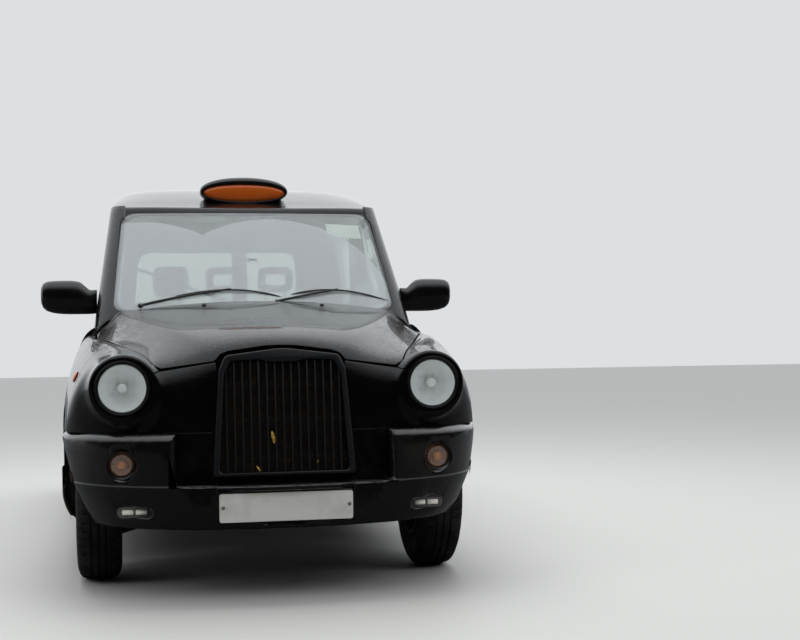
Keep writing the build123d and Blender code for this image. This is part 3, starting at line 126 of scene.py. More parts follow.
bpy.ops.mesh.primitive_plane_add(size=FLOOR_SIZE)
floor = bpy.context.object
floor.name = "studio_floor"
floor_grey, tree, out, shader = new_material("floor_grey")
ray = add_node(tree, "ShaderNodeLightPath")
mix = add_node(tree, "ShaderNodeMix", {"data_type": "RGBA"}, {6: to_linear(FLOOR_GREY), 7: to_linear(FLOOR_MIRRORED)},
               {0: ray.outputs["Is Glossy Ray"]})
tree.links.new(mix.outputs[2], shader.inputs["Base Color"])
shader.inputs["Roughness"].default_value = 0.6
floor.data.materials.append(floor_grey)


def area_lamp(name, place, target, size, power):
    """A square soft lamp at place that faces target."""
    data = bpy.data.lights.new(name, "AREA")
    data.size = size
    data.energy = power
    lamp = bpy.data.objects.new(name, data)
    lamp.location = place
    lamp.rotation_euler = (Vector(target) - Vector(place)).to_track_quat("-Z", "Y").to_euler()
    lamp.visible_glossy = False
    bpy.context.scene.collection.objects.link(lamp)


area_lamp("overhead", (0, 0.5, 6), (0, 0, 1), 5, 330)
area_lamp("front_left", (5.5, -6, 4.5), (0, -1, 1), 3, 110)
area_lamp("front_right", (-6, -4, 4), (0, -1, 1), 3, 80)
# Chassis: a ladder frame and cross members of welded steel in satin black paint, with rust coming through.
bodies = {node: body for body, members in frame["record"]["behaviour"]["bodies"].items() for node in members}


def finish(name, colour, roughness, metallic=0.0, second=None, patch_mm=60, cover=0.5, bump_mm=0.0, grain_mm=2.0):
    """Material that turns from colour to second in patches of patch_mm over part cover, with a grain bump_mm deep."""
    material, tree, out, shader = new_material(name)
    shader.inputs["Metallic"].default_value = metallic
    shader.inputs["Roughness"].default_value = roughness
    shader.inputs["Base Color"].default_value = to_linear(colour)
    place = add_node(tree, "ShaderNodeTexCoord").outputs["Object"]
    if second:
        patches = add_node(tree, "ShaderNodeTexNoise", inputs={"Scale": 1000 / patch_mm, "Detail": 6.0, "Roughness": 0.65},
                           links={"Vector": place})
        edge = add_node(tree, "ShaderNodeMapRange", inputs={"From Min": 0.65 - 0.4 * cover, "From Max": 0.85 - 0.4 * cover},
                        links={"Value": patches.outputs["Fac"]})
        mix = add_node(tree, "ShaderNodeMix", {"data_type": "RGBA"}, {6: to_linear(colour), 7: to_linear(second)},
                       {0: edge.outputs[0]})
        tree.links.new(mix.outputs[2], shader.inputs["Base Color"])
        dull = add_node(tree, "ShaderNodeMapRange", inputs={"To Min": roughness, "To Max": min(1.0, roughness + 0.2)},
                        links={"Value": edge.outputs[0]})
        tree.links.new(dull.outputs[0], shader.inputs["Roughness"])
    if bump_mm:
        grain = add_node(tree, "ShaderNodeTexNoise", inputs={"Scale": 1000 / grain_mm, "Detail": 3.0}, links={"Vector": place})
        bump = add_node(tree, "ShaderNodeBump", inputs={"Strength": 1.0, "Distance": bump_mm / 1000},
                        links={"Height": grain.outputs["Fac"]})
        tree.links.new(bump.outputs[0], shader.inputs["Normal"])
    return material


def refined(node, material, bevel=0.002, angle=35):
    """Smooth copy of a CAD piece that stands for it: triangles merged, sharp edges rounded by bevel metres."""
    mesh = nodes[node].data.copy()
    work = bmesh.new()
    work.from_mesh(mesh)
    bmesh.ops.remove_doubles(work, verts=work.verts, dist=0.00005)
    bmesh.ops.dissolve_limit(work, angle_limit=math.radians(1), verts=work.verts, edges=work.edges)
    work.to_mesh(mesh)
    work.free()
    mesh.materials.clear()
    mesh.materials.append(material)
    mesh.polygons.foreach_set("use_smooth", np.full(len(mesh.polygons), True))
    obj = bpy.data.objects.new(node + "_skin", mesh)
    bpy.context.scene.collection.objects.link(obj)
    edge = obj.modifiers.new("edge", "BEVEL")
    edge.width = bevel
    edge.segments = 2
    edge.limit_method = "ANGLE"
    edge.angle_limit = math.radians(angle)
    edge.use_clamp_overlap = False
    edge.harden_normals = True
    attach(obj, bodies[node])
    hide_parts(node)
    return obj


# Satin black chassis paint, worn through to orange brown rust
chassis_paint = finish("chassis_paint", "141415", 0.55, second="4A2C1A", patch_mm=90, cover=0.35, bump_mm=0.3)
for name in ("chassis_frame", "crossmembers", "floor_pan", "rear_wheel_houses", "front_wheel_houses"):
    refined(name, chassis_paint, 0.003)

# Running gear: cast engine block, steel springs and axle, propshaft, mild steel exhaust and a plastic tank
cast_iron = finish("cast_iron", "3A3B3C", 0.6, metallic=0.6, second="2A1B12", patch_mm=70, cover=0.4, bump_mm=0.5)
black_steel = finish("black_steel", "1C1C1D", 0.5, metallic=0.3, second="5A331C", patch_mm=60, cover=0.4, bump_mm=0.3)
rusty_steel = finish("rusty_steel", "4B3A31", 0.75, metallic=0.5, second="6E3B1E", patch_mm=45, cover=0.7, bump_mm=0.4)
tank_plastic = finish("tank_plastic", "17181A", 0.5, second="2B2723", patch_mm=120, bump_mm=0.1)
for name, material, bevel in (("engine_block", cast_iron, 0.006), ("suspension", black_steel, 0.002),
                              ("rear_axle", black_steel, 0.003), ("propshaft", black_steel, 0.002),
                              ("knuckle_left", cast_iron, 0.002), ("knuckle_right", cast_iron, 0.002),
                              ("exhaust", rusty_steel, 0.002), ("fuel_tank", tank_plastic, 0.008)):
    refined(name, material, bevel)

# Wheels: pressed steel discs in grey black enamel, each with a dished centre cap and five wheel nuts
NUT_COUNT, NUT_RING_R, NUT_R, NUT_H = 5, 0.057, 0.011, 0.016
CAP_PROFILE = [(0.000, 0.040), (0.006, 0.040), (0.012, 0.037), (0.016, 0.030), (0.017, 0.020), (0.0172, 0.0005)]
wheel_enamel = finish("wheel_enamel", "2A2B2D", 0.4, second="3A322B", patch_mm=50, cover=0.6, bump_mm=0.1)
zinc_steel = finish("zinc_steel", "8C8E90", 0.35, metallic=1.0, second="5B4A3C", patch_mm=12, cover=0.4)
WHEELS = [("front_left", 0.7225, -1.500, "wheel_front_left"), ("front_right", -0.7225, -1.500, "wheel_front_right"),
          ("rear_left", 0.7225, 1.386, "wheel_rear_left"), ("rear_right", -0.7225, 1.386, "wheel_rear_right")]
HUB_Z = 0.343


def grid_quads(m, n, round_u=False, round_v=False):
    """Quads of an m by n grid of vertices, joined up where it goes round."""
    i, j = np.meshgrid(np.arange(m - (not round_u)), np.arange(n - (not round_v)), indexing="ij")
    i, j = i.ravel(), j.ravel()
    i2, j2 = (i + 1) % m, (j + 1) % n
    return np.stack([i * n + j, i2 * n + j, i2 * n + j2, i * n + j2], axis=1)


def mesh_piece(name, parts, material, body, smooth=True):
    """Object made of (vertices, faces) pairs, with its material; it rides on body."""
    vertices, faces, start = [], [], 0
    for v, f in parts:
        v = np.asarray(v, float).reshape(-1, 3)
        vertices.append(v)
        faces += (np.asarray(f) + start).tolist()
        start += len(v)
    mesh = bpy.data.meshes.new(name)
    mesh.from_pydata(np.concatenate(vertices).tolist(), [], faces)
    mesh.materials.append(material)
    mesh.polygons.foreach_set("use_smooth", np.full(len(mesh.polygons), smooth))
    mesh.update()
    obj = bpy.data.objects.new(name, mesh)
    bpy.context.scene.collection.objects.link(obj)
    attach(obj, body)
    return obj


def revolved(profile, centre, axis, n=48):
    """Grid of a profile of (distance along axis, radius) turned round the axis through centre, and its quads."""
    axis = np.array(axis, float) / np.linalg.norm(axis)
    across = np.cross(axis, [0, 0, 1] if abs(axis[2]) < 0.9 else [1, 0, 0])
    across = across / np.linalg.norm(across)
    other = np.cross(axis, across)
    t = (np.arange(n) / n * 2 * np.pi)[:, None, None]
    a, r = np.array(profile, float).T
    ring = np.cos(t) * across + np.sin(t) * other
    grid = np.array(centre) + a[None, :, None] * axis + r[None, :, None] * ring
    return grid, grid_quads(n, len(profile), round_u=True)


def touch(node, start, direction):
    """Point and normal where a ray first meets a CAD piece."""
    mesh = nodes[node].data
    tree = BVHTree.FromPolygons([v.co for v in mesh.vertices], [p.vertices[:] for p in mesh.polygons])
    point, normal, _, _ = tree.ray_cast(Vector(start), Vector(direction).normalized())
    return np.array(point), np.array(normal)


for name, x, y, body in WHEELS:
    out_x = math.copysign(1, x)
    refined(body, wheel_enamel, 0.0015)
    face_x = touch(body, (out_x * 1.2, y, HUB_Z + NUT_RING_R), (-out_x, 0, 0))[0][0]
    nuts = []
    for k in range(NUT_COUNT):
        a = 2 * math.pi * k / NUT_COUNT + math.pi / 2
        centre = (face_x, y + NUT_RING_R * math.cos(a), HUB_Z + NUT_RING_R * math.sin(a))
        nuts.append(revolved([(-0.002, NUT_R), (NUT_H - 0.003, NUT_R), (NUT_H, NUT_R * 0.7), (NUT_H, 0.0004)],
                             centre, (out_x, 0, 0), 6))
    mesh_piece(f"wheel_nuts_{name}", nuts, zinc_steel, body, smooth=False)
    hub_x = touch(body, (out_x * 1.2, y, HUB_Z + 0.034), (-out_x, 0, 0))[0][0]
    mesh_piece(f"wheel_cap_{name}", [revolved(CAP_PROFILE, (hub_x - out_x * 0.003, y, HUB_Z), (out_x, 0, 0))],
               wheel_enamel, body)

# Tyres: rubber, 185 mm wide, with three grooves round the tread, slots across its shoulders and ribbed walls
TYRE_ROUND, TREAD_STEPS, WALL_STEPS = 280, 56, 12
TREAD_HALF, GROOVES, GROOVE_W, GROOVE_DEEP = 0.066, (-0.030, 0.0, 0.030), 0.0045, 0.007
SLOT_COUNT, SLOT_PART, SLOT_DEEP, SLOT_FROM = 56, 0.22, 0.006, 0.040
WALL_SECTION = [(0.0700, 0.2045), (0.0760, 0.2120), (0.0790, 0.2180), (0.0785, 0.2220), (0.0870, 0.2400),
                (0.0915, 0.2620), (0.0925, 0.2800), (0.0905, 0.3000), (0.0870, 0.3120), (0.0820, 0.3230),
                (0.0760, 0.3310), (0.0700, 0.3355)]
rubber = finish("tyre_rubber", "121212", 0.7, second="23211F", patch_mm=80, cover=0.6, bump_mm=0.15, grain_mm=3)
wall = np.array(WALL_SECTION)
tread = np.linspace(-TREAD_HALF, TREAD_HALF, TREAD_STEPS)
across = np.concatenate([-wall[:, 0], tread, wall[::-1, 0]])
radius = np.concatenate([wall[:, 1], 0.343 - 0.0055 * (tread / TREAD_HALF) ** 4, wall[::-1, 1]])


def tyre_grid(x, y):
    """Tyre skin: the section swept round the axle, with its radius cut in at the grooves and the shoulder slots."""
    angle = (np.arange(TYRE_ROUND) / TYRE_ROUND * 2 * np.pi)[:, None]
    turn = SLOT_COUNT * angle / (2 * np.pi) + 6 * across[None, :] * np.sign(across[None, :])
    on_tread = np.abs(across) <= TREAD_HALF
    groove = np.max([np.exp(-((across - g) / GROOVE_W) ** 6) for g in GROOVES], axis=0)
    slot = ((turn % 1) < SLOT_PART) & (np.abs(across) > SLOT_FROM)[None, :] & (np.abs(across) < 0.080)[None, :]
    deep = np.maximum(GROOVE_DEEP * groove[None, :] * on_tread, SLOT_DEEP * slot)
    r = radius[None, :] - deep
    return np.stack([x + np.broadcast_to(across, r.shape), y + r * np.cos(angle), HUB_Z + r * np.sin(angle)], axis=-1)


for name, x, y, body in WHEELS:
    grid = tyre_grid(x, y)
    tyre = mesh_piece(f"tyre_skin_{name}", [(grid, grid_quads(*grid.shape[:2], round_u=True))], rubber, body)
    tyre.data.set_sharp_from_angle(angle=math.radians(32))
    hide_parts(f"tyre_{name}")
# Body paint: black enamel under clear lacquer, wet with fine rain drops on top, with a brown film of road dirt low
# down; on top of the hollows beside the bonnet the same paler brown is painted on as sheen
# The paler brown colour is road dirt low down, and painted sheen in the hollows beside the bonnet
DROP_MM, SPECK_MM, DIRT_AND_SHEEN_MM = 13, 7, 130
BLACK, DIRT_AND_SHEEN = "070708", "3B342B"
body_paint, tree, out, shader = new_material("body_paint")
coord = add_node(tree, "ShaderNodeTexCoord")
place = coord.outputs["Object"]
heights = []
for size_mm, reach in ((DROP_MM, 0.34), (SPECK_MM, 0.42)):
    cells = add_node(tree, "ShaderNodeTexVoronoi", {"feature": "F1"}, {"Scale": 1000 / size_mm}, {"Vector": place})
    heights.append(add_node(tree, "ShaderNodeMapRange", {"interpolation_type": "SMOOTHSTEP"},
                            {"From Min": 0.0, "From Max": reach, "To Min": 1.0, "To Max": 0.0},
                            {"Value": cells.outputs["Distance"]}).outputs[0])
drops = add_node(tree, "ShaderNodeMath", {"operation": "MULTIPLY_ADD"}, {1: 0.45}, {0: heights[1], 2: heights[0]})
faces = add_node(tree, "ShaderNodeSeparateXYZ", links={0: coord.outputs["Normal"]})
on_top = add_node(tree, "ShaderNodeMapRange", inputs={"From Min": 0.15, "From Max": 0.75, "To Min": 0.12, "To Max": 1.0},
                  links={"Value": faces.outputs["Z"]})
wet = add_node(tree, "ShaderNodeBump", inputs={"Distance": 0.0016}, links={
    "Height": drops.outputs[0], "Strength": on_top.outputs[0]})
tree.links.new(wet.outputs[0], shader.inputs["Coat Normal"])
axes = add_node(tree, "ShaderNodeSeparateXYZ", links={0: place})
low = add_node(tree, "ShaderNodeMapRange", inputs={"From Min": 0.75, "From Max": 0.25, "To Min": 0.0, "To Max": 0.55},
               links={"Value": axes.outputs["Z"]})
streaks = add_node(tree, "ShaderNodeTexNoise", inputs={"Scale": 1000 / DIRT_AND_SHEEN_MM, "Detail": 8.0, "Roughness": 0.7},
                   links={"Vector": place})
side_on = add_node(tree, "ShaderNodeMath", {"operation": "ABSOLUTE"}, links={0: axes.outputs["X"]})
# Painted sheen: on top of the hollows between the bonnet's crease and shut lines, paler brown stands in for light
# caught there
painted_sheen_band = add_node(tree, "ShaderNodeMapRange", inputs={"From Min": 0.42, "From Max": 0.60, "To Min": 0.0, "To Max": 0.5},
                  links={"Value": side_on.outputs[0]})
nose_part = add_node(tree, "ShaderNodeMath", {"operation": "LESS_THAN"}, {1: -1.12}, {0: axes.outputs["Y"]})
painted_sheen_nose = add_node(tree, "ShaderNodeMath", {"operation": "MULTIPLY"}, links={0: painted_sheen_band.outputs[0], 1: nose_part.outputs[0]})
upper = add_node(tree, "ShaderNodeMapRange", inputs={"From Min": 0.92, "From Max": 1.0}, links={"Value": axes.outputs["Z"]})
painted_sheen_mask = add_node(tree, "ShaderNodeMath", {"operation": "MULTIPLY"}, links={0: painted_sheen_nose.outputs[0], 1: upper.outputs[0]})
where = add_node(tree, "ShaderNodeMath", {"operation": "MAXIMUM"}, links={0: low.outputs[0], 1: painted_sheen_mask.outputs[0]})
patchy = add_node(tree, "ShaderNodeMapRange", inputs={"From Min": 0.42, "From Max": 0.68}, links={"Value": streaks.outputs["Fac"]})
# Mask of road dirt low down and of painted sheen in the bonnet-side hollows, broken into patches
dirt_and_sheen = add_node(tree, "ShaderNodeMath", {"operation": "MULTIPLY"}, links={0: where.outputs[0], 1: patchy.outputs[0]})
colour = add_node(tree, "ShaderNodeMix", {"data_type": "RGBA"}, {6: to_linear(BLACK), 7: to_linear(DIRT_AND_SHEEN)}, {0: dirt_and_sheen.outputs[0]})
tree.links.new(colour.outputs[2], shader.inputs["Base Color"])
dull = add_node(tree, "ShaderNodeMapRange", inputs={"To Min": 1.0, "To Max": 0.35}, links={"Value": dirt_and_sheen.outputs[0]})
tree.links.new(dull.outputs[0], shader.inputs["Coat Weight"])
shader.inputs["Roughness"].default_value = 0.25
shader.inputs["Specular IOR Level"].default_value = 0.05
shader.inputs["Coat Roughness"].default_value = 0.04
# Body shell: steel sides, roof, doors, boot lid, tail and scuttle, spot-welded and painted gloss black
PANELS = [("body_side_left", 0.004), ("body_side_right", 0.004), ("tail_frame", 0.004),
          ("boot_lid", 0.004), ("front_door_left", 0.003), ("front_door_right", 0.003), ("rear_door_left", 0.003),
          ("rear_door_right", 0.003), ("scuttle", 0.003)]
for name, bevel in PANELS:
    refined(name, body_paint, bevel)
refined("rear_bumper", body_paint, 0.006)
# Roof: one pressed steel skin, domed both ways, that rolls down into the gutters and the windscreen header.
# Below it the steel frame round the windscreen stays as it was made.
ROOF_HALF_X, ROOF_POWER, ROOF_N = 0.672, 4.5, (121, 81)
ROOF_Y = (-0.720, -0.400, 0.000, 0.450, 1.150, 1.740)
ROOF_MID_Z = (1.645, 1.740, 1.838, 1.850, 1.828, 1.655)
ROOF_EDGE_Z = (1.628, 1.675, 1.680, 1.680, 1.680, 1.632)
HEADER_Z, HEADER_ROUND, PLAN_ROUND, ROOF_T = 1.650, 0.035, 0.12, 0.018


def screen_y(x, z):
    """Front face of the glasshouse: a bow between its corners that leans back, and rounds off at the corners."""
    t = (z - 1.078) / 0.612
    half, corner, bow = 0.750 - 0.078 * t, -1.115 + 0.542 * t, 0.065 - 0.005 * t
    over = np.clip(np.abs(x) - (half - PLAN_ROUND), 0, PLAN_ROUND * 0.999)
    return corner - bow * (1 - (x / half) ** 2) + PLAN_ROUND - np.sqrt(PLAN_ROUND ** 2 - over ** 2)


def roof_grid():
    """Roof skin over a plan grid: a superellipse across from gutter to gutter, a smooth curve along, rounded ends."""
    u = np.sin(np.pi / 2 * np.linspace(-1, 1, ROOF_N[0]))[:, None]
    v = (0.5 + 0.5 * np.sin(np.pi / 2 * np.linspace(-1, 1, ROOF_N[1])))[None, :]
    x = u * ROOF_HALF_X + 0 * v
    over = np.clip(np.abs(x) - (ROOF_HALF_X - PLAN_ROUND), 0, PLAN_ROUND * 0.999)
    front = screen_y(x, HEADER_Z)
    rear = 1.600 + 0.050 * (1 - u ** 2) - PLAN_ROUND + np.sqrt(PLAN_ROUND ** 2 - over ** 2)
    y = front + (rear - front) * v
    fine = np.linspace(-0.9, 1.9, 281)
    kernel = np.hanning(61) / np.hanning(61).sum()
    curves = [np.convolve(np.interp(fine, ROOF_Y, z), kernel, "same") for z in (ROOF_MID_Z, ROOF_EDGE_Z)]
    mid, edge = [np.interp(y, fine, c) for c in curves]
    z = edge + (mid - edge) * (1 - np.abs(u) ** ROOF_POWER + 1e-9) ** (1 / ROOF_POWER)
    for inside in (y - front, rear - y):
        gone = HEADER_ROUND - np.clip(inside, 0, HEADER_ROUND)
        z = z - (HEADER_ROUND - np.sqrt(HEADER_ROUND ** 2 - gone ** 2 + 1e-12))
    return np.stack([x, y, z], axis=-1)


screen_trim = finish("screen_trim", "070708", 0.35)
grid = roof_grid()
roof_skin = mesh_piece("roof_skin", [(grid, grid_quads(*grid.shape[:2]))], body_paint, "body")
fold = roof_skin.modifiers.new("fold", "SOLIDIFY")
fold.thickness = ROOF_T
fold.offset = -1
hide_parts("roof")
mesh = nodes["roof"].data.copy()
work = bmesh.new()
work.from_mesh(mesh)
bmesh.ops.remove_doubles(work, verts=work.verts, dist=0.00005)
bmesh.ops.bisect_plane(work, geom=work.verts[:] + work.edges[:] + work.faces[:], plane_co=(0, 0, HEADER_Z),
                       plane_no=(0, 0, 1), clear_outer=True)
bmesh.ops.delete(work, geom=[v for v in work.verts if v.co.y > 0.5], context="VERTS")
work.to_mesh(mesh)
work.free()
mesh.materials.clear()
mesh.materials.append(screen_trim)
mesh.polygons.foreach_set("use_smooth", np.full(len(mesh.polygons), True))
mesh.set_sharp_from_angle(angle=math.radians(35))
frame_piece = bpy.data.objects.new("windscreen_frame", mesh)
bpy.context.scene.collection.objects.link(frame_piece)
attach(frame_piece, "body")

# Nose: the steel bonnet, front wings and front panel, pressed sheets that share one flowing outer form.
# Each panel is a grid between its shut lines that is pushed onto the form, with its edge folded inwards.
NOSE_Y = (-1.060, -1.320, -1.800, -2.060, -2.260)
MID_Z = (1.200, 1.165, 1.092, 1.038, 0.975)
CREASE_X, CREASE_Z = (0.655, 0.566, 0.392, 0.290, 0.225), (1.152, 1.118, 1.052, 1.000, 0.935)
SHUT_X, SHUT_Z = (0.742, 0.735, 0.600, 0.510, 0.440), (1.046, 1.028, 0.968, 0.925, 0.880)
CREST_X, CREST_Z = (0.786, 0.774, 0.716, 0.660, 0.600), (1.052, 1.040, 1.012, 0.950, 0.860)
FLANK_X = (0.886, 0.880, 0.858, 0.850, 0.850)
FLANK_Z, TUCK_Z, SILL_Z, SILL_IN = 0.620, 0.340, 0.200, 0.054
VALLEY_DIP = 0.05
NOSE_TIP, NOSE_LEAN, NOSE_SIDE_Y, NOSE_W = 2.240, math.radians(8), 1.700, 0.890
END_SWEEP = math.radians(74)
LAMP_X, LAMP_Z, POD_R, POD_Y, LAMP_HOLE_R = 0.622, 0.833, 0.126, -2.097, 0.1145
HALF_GAP = 0.0025
PANEL_T = 0.010


def smooth_max(a, b, k):
    """The larger of a and b, with the corner between them rounded over about k."""
    return 0.5 * (a + b + np.sqrt((a - b) ** 2 + k * k))


def along(values, y):
    """Smooth curve through one column of the nose's rows, read at y."""
    return np.polyval(np.polyfit(NOSE_Y, values, 4), y)


def arc_drop(d, dx, dz):
    """How far an arc that starts upright falls inwards after a height d; it falls dx over dz."""
    r = (dx * dx + dz * dz) / (2 * dx)
    return r - np.sqrt(np.maximum(r * r - d * d, 0.01 * r * r))


def nose_form(p):
    """Negative inside the nose, positive outside. Its top is a crown, a hollow slope down to the shut line and
    the wing's crest; its walls are the flank and a plan of arcs that leans back; a tube stands round each lamp."""
    x, y, z = np.abs(p[..., 0]), p[..., 1], p[..., 2]
    crease_x, shut_x, crest_x = along(CREASE_X, y), along(SHUT_X, y), along(CREST_X, y)
    crease_z, shut_z, crest_z = along(CREASE_Z, y), along(SHUT_Z, y), along(CREST_Z, y)
    mid_z = along(MID_Z, y)
    crown = mid_z + (crease_z - mid_z) * (x / crease_x) ** 2
    span = shut_x - crease_x
    t = np.clip((x - crease_x) / span, -0.6, 1.6)
    slope = crease_z + (shut_z - crease_z) * t - 4 * VALLEY_DIP * span * t * (1 - t)
    r = np.clip((x - shut_x) / (crest_x - shut_x), -3, 2.2)
    wing = shut_z + (crest_z - shut_z) * (1 - (1 - r) ** 2)
    top = smooth_max(-smooth_max(-crown, -slope, 0.008), wing, 0.012)
    above = np.clip(z - FLANK_Z, 0, None)
    below = np.clip(TUCK_Z - z, 0, TUCK_Z - SILL_Z)
    flank = along(FLANK_X, y)
    flank = flank - arc_drop(above, flank - crest_x, crest_z - FLANK_Z) - arc_drop(below, SILL_IN, TUCK_Z - SILL_Z)
    tip = NOSE_TIP - (z - SILL_Z) * math.tan(NOSE_LEAN)
    bow = (1 - math.sin(END_SWEEP)) / math.cos(END_SWEEP)
    corner = (tip - NOSE_SIDE_Y - NOSE_W * bow) / (math.sin(END_SWEEP) + bow * (math.cos(END_SWEEP) - 1))
    end_r = (NOSE_W - corner + corner * math.cos(END_SWEEP)) / math.cos(END_SWEEP)
    dx, dy = x - (NOSE_W - corner), -y - NOSE_SIDE_Y
    in_corner = np.arctan2(dy, dx) < END_SWEEP
    plan = np.where(in_corner, np.hypot(dx, dy) - corner, np.hypot(x, -y - tip + end_r) - end_r)
    plan = np.where(dy < 0, x - NOSE_W, plan)
    forward = np.clip((-y - 1.1) / 0.9, 0, 1)
    wall = smooth_max(x - flank, plan, 0.02 * forward)
    body = smooth_max(z - top, wall, 0.03 + 0.04 * forward)
    pod = smooth_max(np.hypot(x - LAMP_X, z - LAMP_Z) - POD_R, POD_Y - y, 0.012)
    return -smooth_max(-body, -pod, 0.05)


def push_along(p, axis, low, high, steps=40):
    """Points p with one coordinate solved by halving, so that they lie on the nose form; low is inside."""
    a, b = np.full(len(p), low), np.full(len(p), high)
    q = p.copy()
    for _ in range(steps):
        q[:, axis] = (a + b) / 2
        inside = nose_form(q) < 0
        a, b = np.where(inside, q[:, axis], a), np.where(inside, b, q[:, axis])
    return q


def push_out(p, steps=14):
    """Points p moved onto the nose form along its gradient, by Newton's rule."""
    h = 1e-4
    for _ in range(steps):
        grad = np.stack([(nose_form(p + h * e) - nose_form(p - h * e)) / (2 * h) for e in np.eye(3)], axis=-1)
        step = nose_form(p)[..., None] * grad / np.maximum((grad ** 2).sum(-1, keepdims=True), 0.2)
        p = p - np.clip(step, -0.03, 0.03)
    return p


def spaced(points, n, knots=None):
    """n points along a polyline, evenly by length, or at its corners' own parameters in knots."""
    points = np.array(points, float)
    if knots is None:
        knots = np.concatenate([[0], np.cumsum(np.linalg.norm(np.diff(points, axis=0), axis=1))])
        knots = knots / knots[-1]
    t = np.linspace(0, 1, n)
    return np.stack([np.interp(t, knots, points[:, k]) for k in range(3)], axis=1)


def from_plan(points, n, knots=None):
    """Curve on the nose above a plan polyline of (x, y)."""
    return push_along(spaced([(x, y, 0) for x, y in points], n, knots), 2, 0.6, 1.4)


def from_front(points, n, knots=None):
    """Curve on the nose behind a front-view polyline of (x, z)."""
    return push_along(spaced([(x, 0, z) for x, z in points], n, knots), 1, -1.3, -2.4)


def from_side(points, n, knots=None):
    """Curve on the nose beside a side-view polyline of (y, z)."""
    return push_along(spaced([(0, y, z) for y, z in points], n, knots), 0, 0.3, 1.0)


def filled(low, high, start, end, bias=1.0):
    """Grid between four curves (a Coons patch), low to high across and start to end along, pushed onto the nose."""
    n, m = len(low), len(start)
    u = np.linspace(0, 1, n)[:, None, None]
    v = (np.linspace(0, 1, m) ** bias)[None, :, None]
    if bias != 1.0:
        start, end = [np.stack([np.interp(v[0, :, 0], np.linspace(0, 1, m), c[:, k]) for k in range(3)], axis=1)
                      for c in (start, end)]
    ruled = (1 - v) * low[:, None] + v * high[:, None] + (1 - u) * start[None] + u * end[None]
    corners = ((1 - u) * (1 - v) * low[0] + u * (1 - v) * low[-1] + (1 - u) * v * high[0] + u * v * high[-1])
    return push_out(ruled - corners)


def weld(obj, distance=0.0002):
    """Joins vertices of obj closer than distance and makes its faces' normals agree."""
    work = bmesh.new()
    work.from_mesh(obj.data)
    bmesh.ops.remove_doubles(work, verts=work.verts, dist=distance)
    bmesh.ops.recalc_face_normals(work, faces=work.faces)
    work.to_mesh(obj.data)
    work.free()


def mirrored(grid):
    """Grid on the other side of the cab."""
    return grid * np.array([-1.0, 1.0, 1.0])


def sheet_metal(obj, thickness=PANEL_T, bevel=0.0015):
    """Folds obj's edges inwards by thickness and rounds the fold."""
    solid = obj.modifiers.new("fold", "SOLIDIFY")
    solid.thickness = thickness
    solid.offset = -1
    edge = obj.modifiers.new("edge", "BEVEL")
    edge.width = bevel
    edge.segments = 2
    edge.limit_method = "ANGLE"
    edge.angle_limit = math.radians(50)
    return obj


def outward(obj, inside_point):
    """Turns obj's faces so that they look away from inside_point; use it on an open sheet."""
    centre = np.empty(len(obj.data.polygons) * 3)
    normal = np.empty(len(obj.data.polygons) * 3)
    obj.data.polygons.foreach_get("center", centre)
    obj.data.polygons.foreach_get("normal", normal)
    facing = ((centre.reshape(-1, 3) - inside_point) * normal.reshape(-1, 3)).sum(1)
    if facing.sum() < 0:
        obj.data.flip_normals()


# Bonnet: one wide sheet from the scuttle to the top of the grille, cut round the grille's arch
BONNET_REAR_Y = -1.126
BONNET_GAP = 0.006
shut_plan = [(0.742, BONNET_REAR_Y), (0.735, -1.320), (0.600, -1.800), (0.510, -2.060)]
SHUT_CORNER = (0.478, 0.902)


def shut_curve(inset, rise, rear_y, start, n):
    """Curve beside the bonnet's shut line from plan corner start forward to the front corner, set in by inset."""
    plan = [(x - inset, y) for x, y in shut_plan[start:]]
    if start == 0:
        plan[0] = (plan[0][0], rear_y)
    back = from_plan(plan, n - n // 5)
    corner = from_front([(SHUT_CORNER[0] - inset, SHUT_CORNER[1] + rise)] * 2, 2, [0, 1])[0]
    last = push_out(np.linspace(back[-1], corner, n // 5 + 1))[1:]
    return np.concatenate([back, last])


GRILLE_ARCH = [(0, 0.996), (0.06, 0.994), (0.13, 0.985), (0.21, 0.974), (0.240, 0.962), (0.258, 0.940),
               (0.264, 0.934)]
BONNET_N = (76, 110)
BONNET_END_Y = BONNET_REAR_Y - BONNET_GAP
side_edge = shut_curve(BONNET_GAP, BONNET_GAP, BONNET_END_Y, 0, BONNET_N[1])
rear_edge = from_plan([(0, BONNET_END_Y), (side_edge[0, 0], BONNET_END_Y)], BONNET_N[0])
front_edge = from_front(GRILLE_ARCH + [(side_edge[-1, 0], side_edge[-1, 2])], BONNET_N[0])
CENTRE_TURN_Y = -2.08
centre_line = from_plan([(0, BONNET_END_Y), (0, CENTRE_TURN_Y)], BONNET_N[1] - 12)
centre_line = np.concatenate([centre_line, push_out(np.linspace(centre_line[-1], front_edge[0], 13))[1:]])
half = filled(rear_edge, front_edge, centre_line, side_edge)
full = np.concatenate([mirrored(half[:0:-1]), half])
bonnet = mesh_piece("bonnet_skin", [(full, grid_quads(*full.shape[:2]))], body_paint, "bonnet")
outward(bonnet, np.array([0, -1.6, 0.6]))
sheet_metal(bonnet, 0.014)
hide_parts("bonnet")

# Front wings: one patch round the headlamp, from the seam below it to the bonnet, and one above the arch
ARCH_Y, ARCH_Z, ARCH_R = -1.500, 0.343, 0.401
PAD_TOP_Z = 0.6555
SEAM_X = 0.600
REAR_GAP_Y = -1.0855
lamp_start, lamp_end = math.radians(-101), math.radians(155)
top_line = [(0.742 + HALF_GAP, REAR_GAP_Y)] + [(x + HALF_GAP, y) for x, y in shut_plan]
split_top, split_low = (0.600 + HALF_GAP, -1.800), (-1.900, PAD_TOP_Z)
WING_N = (126, 60)


def lamp_arc(start, end, n):
    """Arc of the left headlamp's hole, in front view."""
    a = np.linspace(start, end, n)
    return [(LAMP_X + LAMP_HOLE_R * math.cos(t), LAMP_Z + LAMP_HOLE_R * math.sin(t)) for t in a]


